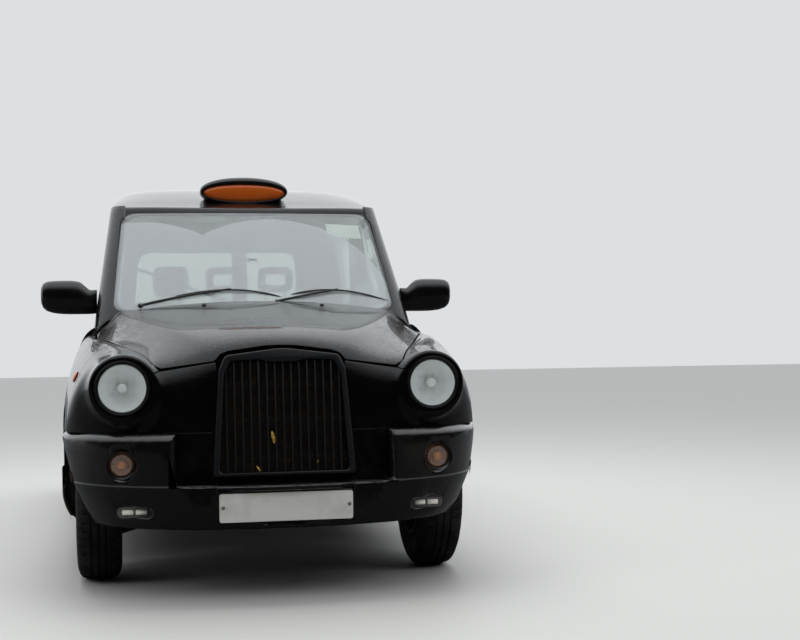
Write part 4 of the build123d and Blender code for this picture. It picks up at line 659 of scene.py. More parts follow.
def pad_line(n):
    """Curve on the wing at the bumper pad's top, from the seam out and back to the patch's end."""
    a = np.linspace(0, 1, n)
    start_y = push_along(np.array([[SEAM_X, 0, PAD_TOP_Z]]), 1, -1.3, -2.4)[0, 1]
    low_x = np.array([SEAM_X, 0.70, 0.78, 0.83, 0.848])
    front = push_along(np.stack([low_x, 0 * low_x, 0 * low_x + PAD_TOP_Z], 1), 1, -1.3, -2.4)
    end = push_along(np.array([[0, split_low[0], PAD_TOP_Z]]), 0, 0.3, 1.0)
    path = spaced(np.concatenate([front[front[:, 1] < split_low[0] - 0.01], end]), n)
    return push_out(path * [1, 1, 0] + [0, 0, PAD_TOP_Z]) if start_y < 0 else path


shut_end = shut_curve(-HALF_GAP, -HALF_GAP, 0, 2, 60)
pad = pad_line(60)
lamp_inner = from_front(lamp_arc(lamp_start, lamp_end, WING_N[0]), WING_N[0])
a = np.linspace(0, 1, 60)[:, None]
between = push_out((1 - a) * pad[-1] + a * shut_end[0] + np.array([0.05, 0, 0.03]) * np.sin(np.pi * a))
outline = np.concatenate([pad, between[1:], shut_end[1:]])
knots = np.concatenate([np.linspace(0, 0.36, 60), np.linspace(0.36, 0.70, 60)[1:], np.linspace(0.70, 1, 60)[1:]])
lamp_outer = np.stack([np.interp(np.linspace(0, 1, WING_N[0]), knots, outline[:, k]) for k in range(3)], axis=1)
seam = from_front([(lamp_inner[0, 0] , lamp_inner[0, 2]), (SEAM_X + HALF_GAP, PAD_TOP_Z)], WING_N[1])
bridge = push_out(np.linspace(lamp_inner[-1], lamp_outer[-1], WING_N[1]))
seam[0], seam[-1], bridge[0], bridge[-1] = lamp_inner[0], lamp_outer[0], lamp_inner[-1], lamp_outer[-1]
lamp_patch = filled(lamp_inner, lamp_outer, seam, bridge, 1.5)

arch_angle = np.linspace(math.acos(-0.252 / ARCH_R), 0, 80)
arch = [(ARCH_Y + ARCH_R * math.cos(t), ARCH_Z + ARCH_R * math.sin(t)) for t in arch_angle]
low_path = [split_low] + arch + [(ARCH_Y + ARCH_R, SILL_Z), (REAR_GAP_Y, SILL_Z)]
REAR_N = (118, 60)
low_curve = from_side(low_path, REAR_N[0])
high_curve = from_plan([split_top] + top_line[3:0:-1] + [top_line[0]], REAR_N[0])
rear_top = high_curve[-1]
rear_curve = from_side([(REAR_GAP_Y, SILL_Z), (REAR_GAP_Y, 0.98)], REAR_N[1] - 10)
cap = push_out(np.linspace(rear_curve[-1], rear_top, 11))[1:]
rear_curve = np.concatenate([rear_curve, cap])
front_curve = np.stack([np.interp(np.linspace(0, 1, REAR_N[1]), np.linspace(0, 1, 60), between[:, k])
                        for k in range(3)], axis=1)
rear_patch = filled(low_curve, high_curve, front_curve, rear_curve)
for side, turn in (("left", lambda g: g), ("right", mirrored)):
    wing = mesh_piece(f"front_wing_skin_{side}", [(turn(lamp_patch), grid_quads(*lamp_patch.shape[:2])),
                                                  (turn(rear_patch), grid_quads(*rear_patch.shape[:2]))],
                      body_paint, "body")
    weld(wing)
    outward(wing, turn(np.array([0.5, -1.7, 0.5])))
    sheet_metal(wing)
    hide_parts(f"front_wing_{side}")

# Front panel: a wide sheet behind the grille, with a seam under each headlamp and a blade fin beside the grille
SURROUND_EDGE = [(0.2830, 0.459), (0.2715, PAD_TOP_Z), (0.2560, 0.900), (0.2600, 0.9285)]
STRIP_LOW_Z, STRIP_TOP_Z, PAD_X = 0.4585, 0.4875, 0.4195
PANEL_N = 52
inner_arc = lamp_arc(lamp_start, lamp_end - 2 * math.pi, 60)
right_path = [(SEAM_X - HALF_GAP, PAD_TOP_Z)] + inner_arc + [(lamp_outer[-1, 0] - 0.003, lamp_outer[-1, 2] - 0.0045)]
right_edge = from_front(right_path, PANEL_N)
left_edge = from_front(SURROUND_EDGE[1:], PANEL_N)
low_edge = from_front([SURROUND_EDGE[1], right_path[0]], PANEL_N)
high_edge = from_front([SURROUND_EDGE[-1], right_path[-1]], PANEL_N)
panel_main = filled(low_edge, high_edge, left_edge, right_edge)
panel_low = filled(from_front([SURROUND_EDGE[0], (PAD_X, STRIP_LOW_Z)], 20),
                   from_front([SURROUND_EDGE[1], (PAD_X, PAD_TOP_Z)], 20),
                   from_front([SURROUND_EDGE[0], SURROUND_EDGE[1]], 24),
                   from_front([(PAD_X, STRIP_LOW_Z), (PAD_X, PAD_TOP_Z)], 24))
strip = filled(from_front([(0, STRIP_LOW_Z), SURROUND_EDGE[0]], 30), from_front([(0, STRIP_TOP_Z), (0.2815, STRIP_TOP_Z)], 30),
               from_front([(0, STRIP_LOW_Z), (0, STRIP_TOP_Z)], 6),
               from_front([SURROUND_EDGE[0], (0.2815, STRIP_TOP_Z)], 6))
grids = [turn(g) for turn in (lambda g: g, mirrored) for g in (panel_main, panel_low, strip)]
panel = mesh_piece("front_panel_skin", [(g, grid_quads(*g.shape[:2])) for g in grids], body_paint, "body")
weld(panel)
outward(panel, np.array([0, -1.7, 0.6]))
sheet_metal(panel)
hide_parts("front_panel")
# Front bumper: one moulding in gloss black plastic, its two raised ends bevelled along the top
bumper_plastic = finish("bumper_plastic", "0B0B0C", 0.22, second="16140F", patch_mm=140, cover=0.35, bump_mm=0.05)
BUMPER_FOLD_Z, BUMPER_FOLD_W = 0.455, 0.007
tree = bumper_plastic.node_tree
place = add_node(tree, "ShaderNodeTexCoord").outputs["Object"]
axes = add_node(tree, "ShaderNodeSeparateXYZ", links={0: place})
step = add_node(tree, "ShaderNodeMapRange", {"interpolation_type": "SMOOTHSTEP"},
                {"From Min": BUMPER_FOLD_Z + BUMPER_FOLD_W, "From Max": BUMPER_FOLD_Z - BUMPER_FOLD_W}, {"Value": axes.outputs["Z"]})
crease = add_node(tree, "ShaderNodeBump", inputs={"Distance": 0.006}, links={"Height": step.outputs[0]})
gloss = next(node for node in tree.nodes if node.type == "BSDF_PRINCIPLED")
gloss.inputs["Coat Weight"].default_value = 1.0
gloss.inputs["Coat Roughness"].default_value = 0.08
tree.links.new(crease.outputs[0], gloss.inputs["Coat Normal"])
refined("front_bumper", bumper_plastic, 0.009, 25)

# Grille: a frame and upright bars of black enamelled metal, with a fine hexagonal wire mesh close behind them
MESH_PITCH, WIRE, MESH_BACK = 0.0095, 0.0011, 0.020
OPENING = [(0.256, 0.502), (0.231, 0.888), (0.206, 0.942), (0.096, 0.946), (0.0, 0.936)]
GRILLE_Y, GRILLE_FOOT_Z = -2.238, 0.490
enamel = finish("black_enamel", "1A1B1D", 0.3)
brass_mesh = finish("brass_mesh", "2A231A", 0.45, metallic=0.3, second="6A4A26", patch_mm=9, cover=0.35)
refined("grille_surround", enamel, 0.004)
refined("grille", enamel, 0.0008)


def hexagon_mesh(outline, pitch, wire):
    """Flat sheet of hexagon rings in a staggered lattice, kept where its centres lie inside a half outline."""
    step_x, step_z = pitch, pitch * math.sqrt(3) / 2
    rows = np.arange(int(0.46 / step_z))
    cols = np.arange(-int(0.26 / step_x), int(0.26 / step_x) + 1)
    i, j = np.meshgrid(cols, rows, indexing="ij")
    x = (i + 0.5 * (j % 2)) * step_x
    z = outline[0][1] + (j + 0.5) * step_z
    heights = np.array([p[1] for p in outline])
    widths = np.array([p[0] for p in outline])
    inside = np.abs(x) < np.interp(z, heights[:4], widths[:4]) - pitch * 0.4
    inside &= z < 0.936 - pitch * 0.5
    centre = np.stack([x[inside], z[inside]], axis=1)
    a = np.radians(30 + 60 * np.arange(6))
    ring = np.stack([np.cos(a), np.sin(a)], axis=1)
    outer, inner = ring * pitch / math.sqrt(3), ring * (pitch / math.sqrt(3) - wire)
    cells = centre[:, None, :] + np.concatenate([outer, inner])[None]
    k = np.arange(6)
    face = np.stack([k, (k + 1) % 6, (k + 1) % 6 + 6, k + 6], axis=1)
    faces = (np.arange(len(centre))[:, None, None] * 12 + face[None]).reshape(-1, 4)
    return cells.reshape(-1, 2), faces


cells, faces = hexagon_mesh(OPENING, MESH_PITCH, WIRE)
leaning_y = GRILLE_Y + MESH_BACK + 0.012 + (cells[:, 1] - GRILLE_FOOT_Z) * math.tan(NOSE_LEAN)
mesh_piece("grille_mesh", [(np.stack([cells[:, 0], leaning_y, cells[:, 1]], axis=1), faces)], brass_mesh, "body",
           smooth=False)

# Number plate: a blank pale plastic plate with rounded corners, screwed to the bumper through two holes
PLATE_W, PLATE_H, PLATE_Z, PLATE_Y, PLATE_T, PLATE_CORNER = 0.520, 0.111, 0.370, -2.2622, 0.003, 0.009
plate_white = finish("plate_white", "CDCCC9", 0.35, second="BAB8B2", patch_mm=160, cover=0.4)
screw_zinc = finish("screw_zinc", "9A9A96", 0.4, metallic=0.7)


def rounded_outline(w, h, r, n=8):
    """Points round a rectangle w by h with corners of radius r, anticlockwise."""
    corners = [(w / 2 - r, h / 2 - r, 0), (-w / 2 + r, h / 2 - r, 90), (-w / 2 + r, -h / 2 + r, 180),
               (w / 2 - r, -h / 2 + r, 270)]
    a = np.radians(np.linspace(0, 90, n))
    return np.concatenate([np.stack([cx + r * np.cos(a + math.radians(t)), cz + r * np.sin(a + math.radians(t))], 1)
                           for cx, cz, t in corners])


def cushion_plate(w, h, r, rows):
    """Grid of a rounded rectangle shrunk by each row's inset and lifted by its height; the last row closes it."""
    return np.stack([np.concatenate([rounded_outline(w - 2 * inset, h - 2 * inset, max(r - inset, 0.0004)),
                                     np.full((32, 1), lift)], axis=1) for inset, lift in rows], axis=1)


def closed_face(grid, place):
    """Vertices and faces of a cushion_plate grid put in place: the rings, then one face over the last ring."""
    m, n = grid.shape[:2]
    faces = grid_quads(m, n, round_u=True).tolist()
    faces.append([i * n + n - 1 for i in range(m)])
    return place(grid.reshape(-1, 3)), faces


def mesh_of(name, parts, material, body, smooth=True):
    """mesh_piece for parts whose faces have any number of corners."""
    vertices, faces, start = [], [], 0
    for v, f in parts:
        vertices.append(v)
        faces += [[i + start for i in face] for face in f]
        start += len(v)
    mesh = bpy.data.meshes.new(name)
    mesh.from_pydata(np.concatenate(vertices).tolist(), [], faces)
    mesh.materials.append(material)
    mesh.polygons.foreach_set("use_smooth", np.full(len(mesh.polygons), smooth))
    mesh.set_sharp_from_angle(angle=math.radians(40))
    obj = bpy.data.objects.new(name, mesh)
    bpy.context.scene.collection.objects.link(obj)
    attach(obj, body)
    return obj


def facing_front(x, y, z):
    """Function that stands a flat piece up at (x, y, z), its lift towards the front of the cab."""
    return lambda v: np.stack([x + v[:, 0], y - v[:, 2], z + v[:, 1]], axis=1)


plate_rows = [(0, 0), (0, PLATE_T - 0.001), (0.0006, PLATE_T), (0.006, PLATE_T + 0.0002), (0.012, PLATE_T)]
mesh_of("number_plate", [closed_face(cushion_plate(PLATE_W, PLATE_H, PLATE_CORNER, plate_rows),
                                     facing_front(0, PLATE_Y, PLATE_Z))], plate_white, "body")
screws = [revolved([(0, 0.0075), (0.0015, 0.0075), (0.003, 0.005), (0.0034, 0.0003)],
                   (x, PLATE_Y - PLATE_T, PLATE_Z + 0.002), (0, -1, 0), 20) for x in (-0.246, 0.246)]
mesh_piece("plate_screws", screws, screw_zinc, "body")

# Headlamps: a black rubber ring and a thin bright lip round a fluted glass lens, over a silvered bowl and bulb
LAMP_RING_Y, LENS_R, LIP_R, RING_R, BOWL_DEEP = -2.102, 0.0935, 0.0955, 0.1135, 0.070
frosted = finish("frosted_glass", "FAFAF8", 0.5)
black_rubber = finish("black_rubber", "0A0A0B", 0.45, second="191816", patch_mm=40)
bright_metal = finish("bright_metal", "B9BBBE", 0.12, metallic=1.0)
silvered, tree, out, shader = new_material("silvered_bowl")
shader.inputs["Base Color"].default_value = to_linear("FFFFFF")
shader.inputs["Metallic"].default_value = 0.25
shader.inputs["Roughness"].default_value = 0.25


def clear_cover(name, tint, share):
    """Clear moulded cover: mostly see-through, so that light reaches the lamp, with a sharp sheen over it."""
    material, tree, out, shader = new_material(name)
    shader.inputs["Base Color"].default_value = to_linear(tint)
    shader.inputs["Roughness"].default_value = 0.06
    shader.inputs["Coat Weight"].default_value = 1.0
    through = add_node(tree, "ShaderNodeBsdfTransparent", inputs={"Color": to_linear(tint)})
    mix = add_node(tree, "ShaderNodeMixShader", inputs={0: share}, links={1: through.outputs[0], 2: shader.outputs[0]})
    tree.links.new(mix.outputs[0], out.inputs[0])
    return material


# Pressed glass and clear acrylic covers
lens_glass = clear_cover("lens_glass", "F6F8F8", 0.10)
clear_plastic = clear_cover("clear_plastic", "F4F2EE", 0.07)


def lens_grid(x, y, z, r, crown, flute, count, n=(40, 96)):
    """Domed round lens; its face ripples in upright flutes and two cross bands."""
    rho = (np.linspace(0.004, 1, n[0]) * r)[None, :]
    t = (np.arange(n[1]) / n[1] * 2 * np.pi)[:, None]
    dx, dz = rho * np.cos(t), rho * np.sin(t)
    blocks = np.sin(count * np.pi * dx / r) * np.where(np.abs(dz) < 0.35 * r, 1, 0.6)
    bands = np.sin(5 * np.pi * dz / r) * 0.7
    dome = crown * (1 - (rho / r) ** 2)
    fade = np.clip((1 - rho / r) * 12, 0, 1)
    return np.stack([x + dx, y - dome - flute * (blocks + bands) * fade, z + dz], axis=-1)


for side, s in (("left", 1), ("right", -1)):
    c = (s * LAMP_X, LAMP_RING_Y, LAMP_Z)
    ring = [(-0.112, 0.100), (-0.112, 0.1115), (-0.006, RING_R - 0.001), (0.000, RING_R - 0.004), (0.0035, RING_R - 0.009),
            (0.002, LIP_R + 0.004), (-0.003, LIP_R + 0.0005), (-0.012, LIP_R)]
    rim = mesh_piece(f"headlamp_ring_{side}", [revolved(ring, c, (0, -1, 0), 96)], black_rubber, "body")
    lip = [(-0.006, LIP_R + 0.0006), (0.0, LIP_R + 0.0004), (0.001, LIP_R - 0.0008), (0.0, LENS_R - 0.0005)]
    mesh_piece(f"headlamp_lip_{side}", [revolved(lip, c, (0, -1, 0), 96)], bright_metal, "body")
    rho = np.linspace(0.02, 1, 60)[None, :]
    a = (np.arange(120) / 120 * 2 * np.pi)[:, None]
    dx, dz = rho * np.cos(a), rho * np.sin(a)
    blocks = np.abs(np.sin(7 * dx * np.pi / 2)) * 0.010 + np.abs(np.sin(5 * dz * np.pi / 2)) * 0.008
    bowl = np.stack([c[0] + dx * (LENS_R - 0.001), c[1] + 0.006 + BOWL_DEEP * (1 - rho ** 2) + blocks * (1 - rho),
                     c[2] + dz * (LENS_R - 0.001)], axis=-1)
    mesh_piece(f"headlamp_bowl_{side}", [(bowl, grid_quads(*bowl.shape[:2], round_u=True))], silvered, "body")
    bulb = [(-0.078, 0.014), (-0.055, 0.016), (-0.035, 0.018), (-0.026, 0.018), (-0.022, 0.013), (-0.020, 0.0003)]
    mesh_piece(f"headlamp_bulb_{side}", [revolved(bulb, c, (0, -1, 0), 24)], frosted, "body")
    front = lens_grid(c[0], c[1] + 0.002, c[2], LENS_R, 0.013, 0.0010, 9)
    back = lens_grid(c[0], c[1] + 0.006, c[2], LENS_R, 0.011, 0.0, 9)[:, ::-1]
    grid = np.concatenate([front, back], axis=1)
    lens = mesh_piece(f"headlamp_lens_{side}", [(grid, grid_quads(grid.shape[0], grid.shape[1], True))], lens_glass,
                      "body")
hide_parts("headlamp_bodies")
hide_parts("headlamp_lenses")

# Bumper lamps: round indicators with an amber bulb behind clear ribbed plastic, and pill-shaped fog lamps below
INDICATOR_X, INDICATOR_Z, INDICATOR_Y, INDICATOR_R = 0.628, 0.537, -2.146, 0.040
FOG_X, FOG_Z, FOG_Y, FOG_W, FOG_H = 0.580, 0.353, -2.150, 0.132, 0.038
lamp_amber = finish("lamp_amber", "C9AE9C", 0.25, metallic=0.3, second="7A4A2A", patch_mm=16)
amber_plastic = finish("amber_plastic", "E28A38", 0.3)
lamp_dark = finish("lamp_dark", "6A6866", 0.3, metallic=0.4)


def pill_grid(x, y, z, w, h, rows):
    """Grid of a pill outline w by h, each row shrunk by its inset and set forward by its height."""
    flat = cushion_plate(w, h, h / 2 - 0.0004, rows)
    return np.stack([x + flat[..., 0], y - flat[..., 2], z + flat[..., 1]], axis=-1)


for side, s in (("left", 1), ("right", -1)):
    c = (s * INDICATOR_X, INDICATOR_Y, INDICATOR_Z)
    dish = [(0.020, 0.0565), (0.012, 0.050), (0.006, 0.0425), (0.000, 0.0415), (-0.006, 0.0405)]
    mesh_piece(f"indicator_dish_{side}", [revolved(dish, c, (0, -1, 0), 64)], bumper_plastic,
                                  "body")
    bowl = [(-0.003 - 0.022 * (1 - k ** 2), k * 0.040) for k in np.linspace(0.05, 1, 16)]
    mesh_piece(f"indicator_bowl_{side}", [revolved(bowl, c, (0, -1, 0), 48)], lamp_amber, "body")
    a = np.linspace(0, np.pi / 2, 8)
    bulb = [(-0.026, 0.012), (-0.016, 0.018)] + [(-0.012 + 0.012 * math.sin(k), 0.018 * math.cos(k) + 0.0002) for k in a]
    mesh_piece(f"indicator_bulb_{side}", [revolved(bulb, c, (0, -1, 0), 32)], amber_plastic, "body")
    front = lens_grid(c[0], c[1] - 0.001, c[2], 0.0400, 0.009, 0.0004, 7, (24, 64))
    back = lens_grid(c[0], c[1] + 0.002, c[2], 0.0400, 0.0085, 0.0, 7, (24, 64))[:, ::-1]
    grid = np.concatenate([front, back], axis=1)
    mesh_piece(f"indicator_lens_{side}", [(grid, grid_quads(grid.shape[0], grid.shape[1], True))], clear_plastic,
               "body")
    fog_y = touch("bumper_lamps", (s * FOG_X, -3, FOG_Z), (0, 1, 0))[0][1]
    rim = pill_grid(s * FOG_X, fog_y, FOG_Z, FOG_W + 0.010, FOG_H + 0.010,
                    [(0.0, -0.008), (0.0, 0.001), (0.0015, 0.002), (0.004, 0.001), (0.005, -0.020)])
    mesh_piece(f"fog_lamp_rim_{side}", [(rim, grid_quads(*rim.shape[:2], round_u=True))], bumper_plastic, "body")
    well = pill_grid(s * FOG_X, fog_y, FOG_Z, FOG_W, FOG_H,
                     [(0.0, -0.001), (0.004, -0.010), (0.009, -0.016), (0.0185, -0.018)])
    mesh_piece(f"fog_lamp_well_{side}", [(well, grid_quads(*well.shape[:2], round_u=True))], lamp_dark, "body")
    tubes = [revolved([(-0.022, 0.002), (-0.020, 0.010), (0.020, 0.010), (0.022, 0.002)],
                      (s * FOG_X + dx, fog_y + 0.006, FOG_Z), (1, 0, 0), 24) for dx in (-0.026, 0.026)]
    mesh_piece(f"fog_lamp_bulbs_{side}", tubes, frosted, "body")
    cover = pill_grid(s * FOG_X, fog_y, FOG_Z, FOG_W, FOG_H,
                      [(0.0, -0.003), (0.0, 0.001), (0.002, 0.003), (0.008, 0.005), (0.0186, 0.0055)])
    mesh_piece(f"fog_lamp_lens_{side}", [(cover, grid_quads(*cover.shape[:2], round_u=True))], clear_plastic, "body")
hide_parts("bumper_lamps")
# Glass: laminated windscreen and toughened side panes with a faint green tint, set in moulded rubber seals.
# Inside the two arcs that the wipers sweep, a pale grey sheet is painted on the glass as the sky's reflection, fainter
# outside them.
WIPER_PIVOTS = [(-0.534, 1.171), (0.102, 1.185)]
SWEEP_R, SCREEN_SLANT, SEAL_OUT, SEAL_IN, SEAL_H = 0.56, 1.32, 0.011, 0.008, 0.0045
tinted_glass, tree, out, shader = new_material("tinted_glass")
shader.inputs["Roughness"].default_value = 0.0
shader.inputs["IOR"].default_value = 1.5
shader.inputs["Base Color"].default_value = to_linear("E6F1EC")
place = add_node(tree, "ShaderNodeTexCoord").outputs["Object"]
axes = add_node(tree, "ShaderNodeSeparateXYZ", links={0: place})
slanted = add_node(tree, "ShaderNodeMath", {"operation": "MULTIPLY"}, {1: SCREEN_SLANT}, {0: axes.outputs["Z"]})
flat = add_node(tree, "ShaderNodeCombineXYZ", links={"X": axes.outputs["X"], "Y": slanted.outputs[0]})
near = []
for px, pz in WIPER_PIVOTS:
    away = add_node(tree, "ShaderNodeVectorMath", {"operation": "DISTANCE"}, {1: (px, pz * SCREEN_SLANT, 0)}, {0: flat.outputs[0]})
    near.append(away.outputs["Value"])
closest = add_node(tree, "ShaderNodeMath", {"operation": "MINIMUM"}, links={0: near[0], 1: near[1]})
arc = add_node(tree, "ShaderNodeMapRange", inputs={"From Min": SWEEP_R, "From Max": SWEEP_R + 0.008, "To Min": 1.0, "To Max": 0.35},
               links={"Value": closest.outputs[0]})
ahead = add_node(tree, "ShaderNodeMath", {"operation": "LESS_THAN"}, {1: -0.55}, {0: axes.outputs["Y"]})
wiped = add_node(tree, "ShaderNodeMath", {"operation": "MULTIPLY"}, links={0: arc.outputs[0], 1: ahead.outputs[0]})
# Painted reflection: a pale grey rough sheet that stands in for the sky mirrored on the wiped glass
painted_sky_reflection = add_node(tree, "ShaderNodeBsdfPrincipled", inputs={"Base Color": to_linear("C2C6CB"), "Roughness": 0.5})
share = add_node(tree, "ShaderNodeMath", {"operation": "MULTIPLY_ADD"}, {1: 0.40, 2: 0.02}, {0: wiped.outputs[0]})
clear = add_node(tree, "ShaderNodeMixShader", links={0: share.outputs[0], 1: shader.outputs[0], 2: painted_sky_reflection.outputs[0]})
shader.inputs["Transmission Weight"].default_value = 1.0
tree.links.new(clear.outputs[0], out.inputs[0])
PANES = ["fixed_glass", "front_door_glass_left", "front_door_glass_right", "rear_door_glass_left", "rear_door_glass_right"]
for name in PANES:
    nodes[name].data.materials.clear()
    nodes[name].data.materials.append(tinted_glass)
SCREEN_LOW, SCREEN_TOP, SCREEN_ROUND, SCREEN_T = (0.660, 1.150), (0.622, 1.642), (0.045, 0.070), 0.006


def even_loop(loop, n):
    """A closed loop resampled to n points, evenly by length."""
    closed = np.concatenate([loop, loop[:1]])
    length = np.concatenate([[0], np.cumsum(np.linalg.norm(np.diff(closed, axis=0), axis=1))])
    t = np.arange(n) / n * length[-1]
    return np.stack([np.interp(t, length, closed[:, k]) for k in range(3)], axis=1)


def screen_outline(n):
    """Points (x, z) round the windscreen: a trapezium with rounded corners."""
    (xl, zl), (xt, zt), (rl, rt) = SCREEN_LOW, SCREEN_TOP, SCREEN_ROUND
    a = np.radians(np.linspace(0, 90, n))
    corners = [(xt - rt, zt - rt, rt, 0), (-xt + rt, zt - rt, rt, 90), (-xl + rl, zl + rl, rl, 180), (xl - rl, zl + rl, rl, 270)]
    return np.concatenate([np.stack([cx + r * np.cos(a + math.radians(t)), cz + r * np.sin(a + math.radians(t))], 1)
                           for cx, cz, r, t in corners])


rim_xz = even_loop(np.concatenate([screen_outline(10), np.zeros((40, 1))], axis=1), 160)[:, :2]
k = np.linspace(0.001, 1, 24)[None, :, None]
flat_xz = np.array([0, 1.396]) * (1 - k) + rim_xz[:, None] * k
pane = np.stack([flat_xz[..., 0], screen_y(flat_xz[..., 0], flat_xz[..., 1]), flat_xz[..., 1]], axis=-1)
screen = mesh_piece("windscreen", [(pane, grid_quads(*pane.shape[:2], round_u=True))], tinted_glass, "body")
thick = screen.modifiers.new("thickness", "SOLIDIFY")
thick.thickness = SCREEN_T
thick.offset = 0
mesh = nodes["fixed_glass"].data.copy()
work = bmesh.new()
work.from_mesh(mesh)
bmesh.ops.delete(work, geom=[v for v in work.verts if v.co.y < -0.2], context="VERTS")
work.to_mesh(mesh)
work.free()
rest_panes = bpy.data.objects.new("rear_panes", mesh)
bpy.context.scene.collection.objects.link(rest_panes)
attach(rest_panes, "body")
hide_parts("fixed_glass")


def pane_rims(node):
    """Outer rim of each pane of a glass piece: closed loops of sharp edges, the one farther from the cab's middle."""
    work = bmesh.new()
    work.from_mesh(nodes[node].data)
    bmesh.ops.remove_doubles(work, verts=work.verts, dist=0.00005)
    sharp = [e for e in work.edges if len(e.link_faces) == 2 and e.calc_face_angle() > math.radians(50)]
    beside = {}
    for e in sharp:
        for a, b in (e.verts[:], e.verts[:][::-1]):
            beside.setdefault(a, []).append(b)
    loops, left = [], set(beside)
    while left:
        start = left.pop()
        loop, last, now = [start], None, start
        while True:
            ahead = [v for v in beside[now] if v is not last and (v in left or (v is start and len(loop) > 2))]
            if not ahead or ahead[0] is start:
                break
            last, now = now, ahead[0]
            left.discard(now)
            loop.append(now)
        if len(loop) > 8:
            loops.append(np.array([v.co for v in loop]))
    work.free()
    rims = []
    for loop in loops:
        middle = loop.mean(0)
        twin = min((m for m in loops if m is not loop), key=lambda m: np.linalg.norm(m.mean(0) - middle))
        if np.linalg.norm(middle - [0, 0.4, 1.3]) > np.linalg.norm(twin.mean(0) - [0, 0.4, 1.3]):
            rims.append(loop)
    return rims


def seal_grid(rim, n=220):
    """Half-round rubber strip that follows a rim: outwards it lies on the frame, inwards on the glass."""
    p = even_loop(rim, n)
    along_rim = np.roll(p, -1, 0) - np.roll(p, 1, 0)
    along_rim = along_rim / np.linalg.norm(along_rim, axis=1, keepdims=True)
    to_middle = p.mean(0) - p
    up = np.cross(along_rim, to_middle)
    up = up / np.linalg.norm(up, axis=1, keepdims=True)
    up = up * np.sign((up @ (p.mean(0) - np.array([0, 0.4, 1.3])))[:, None])
    outwards = np.cross(along_rim, up)
    outwards = outwards * np.sign((outwards * -to_middle).sum(1))[:, None]
    a = np.linspace(0, np.pi, 9)[None, :, None]
    span = (SEAL_OUT + SEAL_IN) / 2
    mid = (SEAL_OUT - SEAL_IN) / 2
    return p[:, None] + outwards[:, None] * (mid + span * np.cos(a)) + up[:, None] * (SEAL_H * np.sin(a) - 0.0005)


for name in PANES:
    seals = [(g, grid_quads(*g.shape[:2], round_u=True)) for g in (seal_grid(rim) for rim in pane_rims(name))]
    mesh_piece(name + "_seal", seals, black_rubber, bodies[name])

# Wipers: black painted arms from the scuttle to the middle of two bowed blades with rubber edges
wiper_black = finish("wiper_black", "0D0D0E", 0.4)
WIPERS = [([(-0.534, 1.171), (-0.380, 1.203), (-0.115, 1.241)], [(-0.385, 1.212), (-0.115, 1.238), (0.123, 1.207)]),
          ([(0.102, 1.185), (0.165, 1.198), (0.395, 1.237)], [(0.164, 1.218), (0.395, 1.234), (0.640, 1.186)])]


def on_screen(points, n, lift):
    """Curve over the windscreen through points (x, z), bent by a parabola, and lifted off the glass by lift."""
    points = np.array(points)
    t = np.linspace(0, 1, n)
    curve = np.stack([np.polyval(np.polyfit([0, 0.5, 1], points[:, k], 2), t) for k in (0, 1)], axis=1)
    met = [touch("fixed_glass", (x, -2, z), (0, 1, 0)) for x, z in curve]
    return np.array([p + normal * h for (p, normal), h in zip(met, np.broadcast_to(lift, n))])


def bar_grid(path, width, height, up, sides=10):
    """Oval bar along a path: width across, height along up, both given at each point of the path."""
    path = np.array(path)
    n = len(path)
    ahead = np.gradient(path, axis=0)
    ahead = ahead / np.linalg.norm(ahead, axis=1, keepdims=True)
    across = np.cross(ahead, up)
    across = across / np.linalg.norm(across, axis=1, keepdims=True)
    top = np.cross(across, ahead)
    a = (np.arange(sides) / sides * 2 * np.pi)[None, :, None]
    w = np.broadcast_to(width, n)[:, None, None] / 2
    h = np.broadcast_to(height, n)[:, None, None] / 2
    return path[:, None] + np.cos(a) * w * across[:, None] + np.sin(a) * h * top[:, None]


def bar(path, width, height, up, sides=10):
    """Vertices and quads of an oval bar, its ends drawn to a point."""
    path = np.array(path)
    path = np.concatenate([path[:1], path, path[-1:]])
    n = len(path)
    ends = np.ones(n)
    ends[[0, -1]] = 0.02
    keep_up = np.array(up, float)
    inner = bar_grid(path[1:-1], np.broadcast_to(width, n - 2), np.broadcast_to(height, n - 2), keep_up, sides)
    caps = [path[k] + (inner[j] - path[k]) * 0.02 for k, j in ((0, 0), (-1, -1))]
    grid = np.concatenate([caps[0][None], inner, caps[1][None]])
    return grid, grid_quads(*grid.shape[:2], round_v=True)


SCREEN_UP = (0, -0.77, 0.64)
wiper_parts = []
for arm, blade in WIPERS:
    t = np.linspace(0, 1, 24)
    arm_path = on_screen(arm, 24, 0.012 + 0.010 * t)
    wiper_parts.append(bar(arm_path, 0.017 - 0.008 * t, 0.008, SCREEN_UP))
    t = np.linspace(0, 1, 40)
    bow = 0.010 + 0.010 * (1 - (2 * t - 1) ** 2)
    wiper_parts.append(bar(on_screen(blade, 40, bow), 0.010, 0.006 - 0.003 * np.abs(2 * t - 1), SCREEN_UP))
    wiper_parts.append(bar(on_screen(blade, 40, 0.0042), 0.004, 0.008, SCREEN_UP))
    foot, out_way = arm_path[0], np.array([0.3, -0.5, 0.8])
    wiper_parts.append(revolved([(-0.030, 0.010), (0.0, 0.013), (0.010, 0.014), (0.014, 0.010), (0.015, 0.0004)],
                                foot - 0.008 * out_way, out_way, 20))
mesh_piece("wipers", wiper_parts, wiper_black, "body")

# Roof sign: an oval black plastic housing with a blank amber lens across its front
SIGN_MID, SIGN_HALF, SIGN_POWER = (0, -0.419, 1.776), (0.2245, 0.0665, 0.0705), 2.15
amber_lens, tree, out, shader = new_material("amber_lens")
shader.inputs["Base Color"].default_value = to_linear("B9581C")
shader.inputs["Roughness"].default_value = 0.14
shader.inputs["Coat Weight"].default_value = 0.6
shader.inputs["Subsurface Weight"].default_value = 0.3
shader.inputs["Subsurface Radius"].default_value = (0.02, 0.008, 0.003)


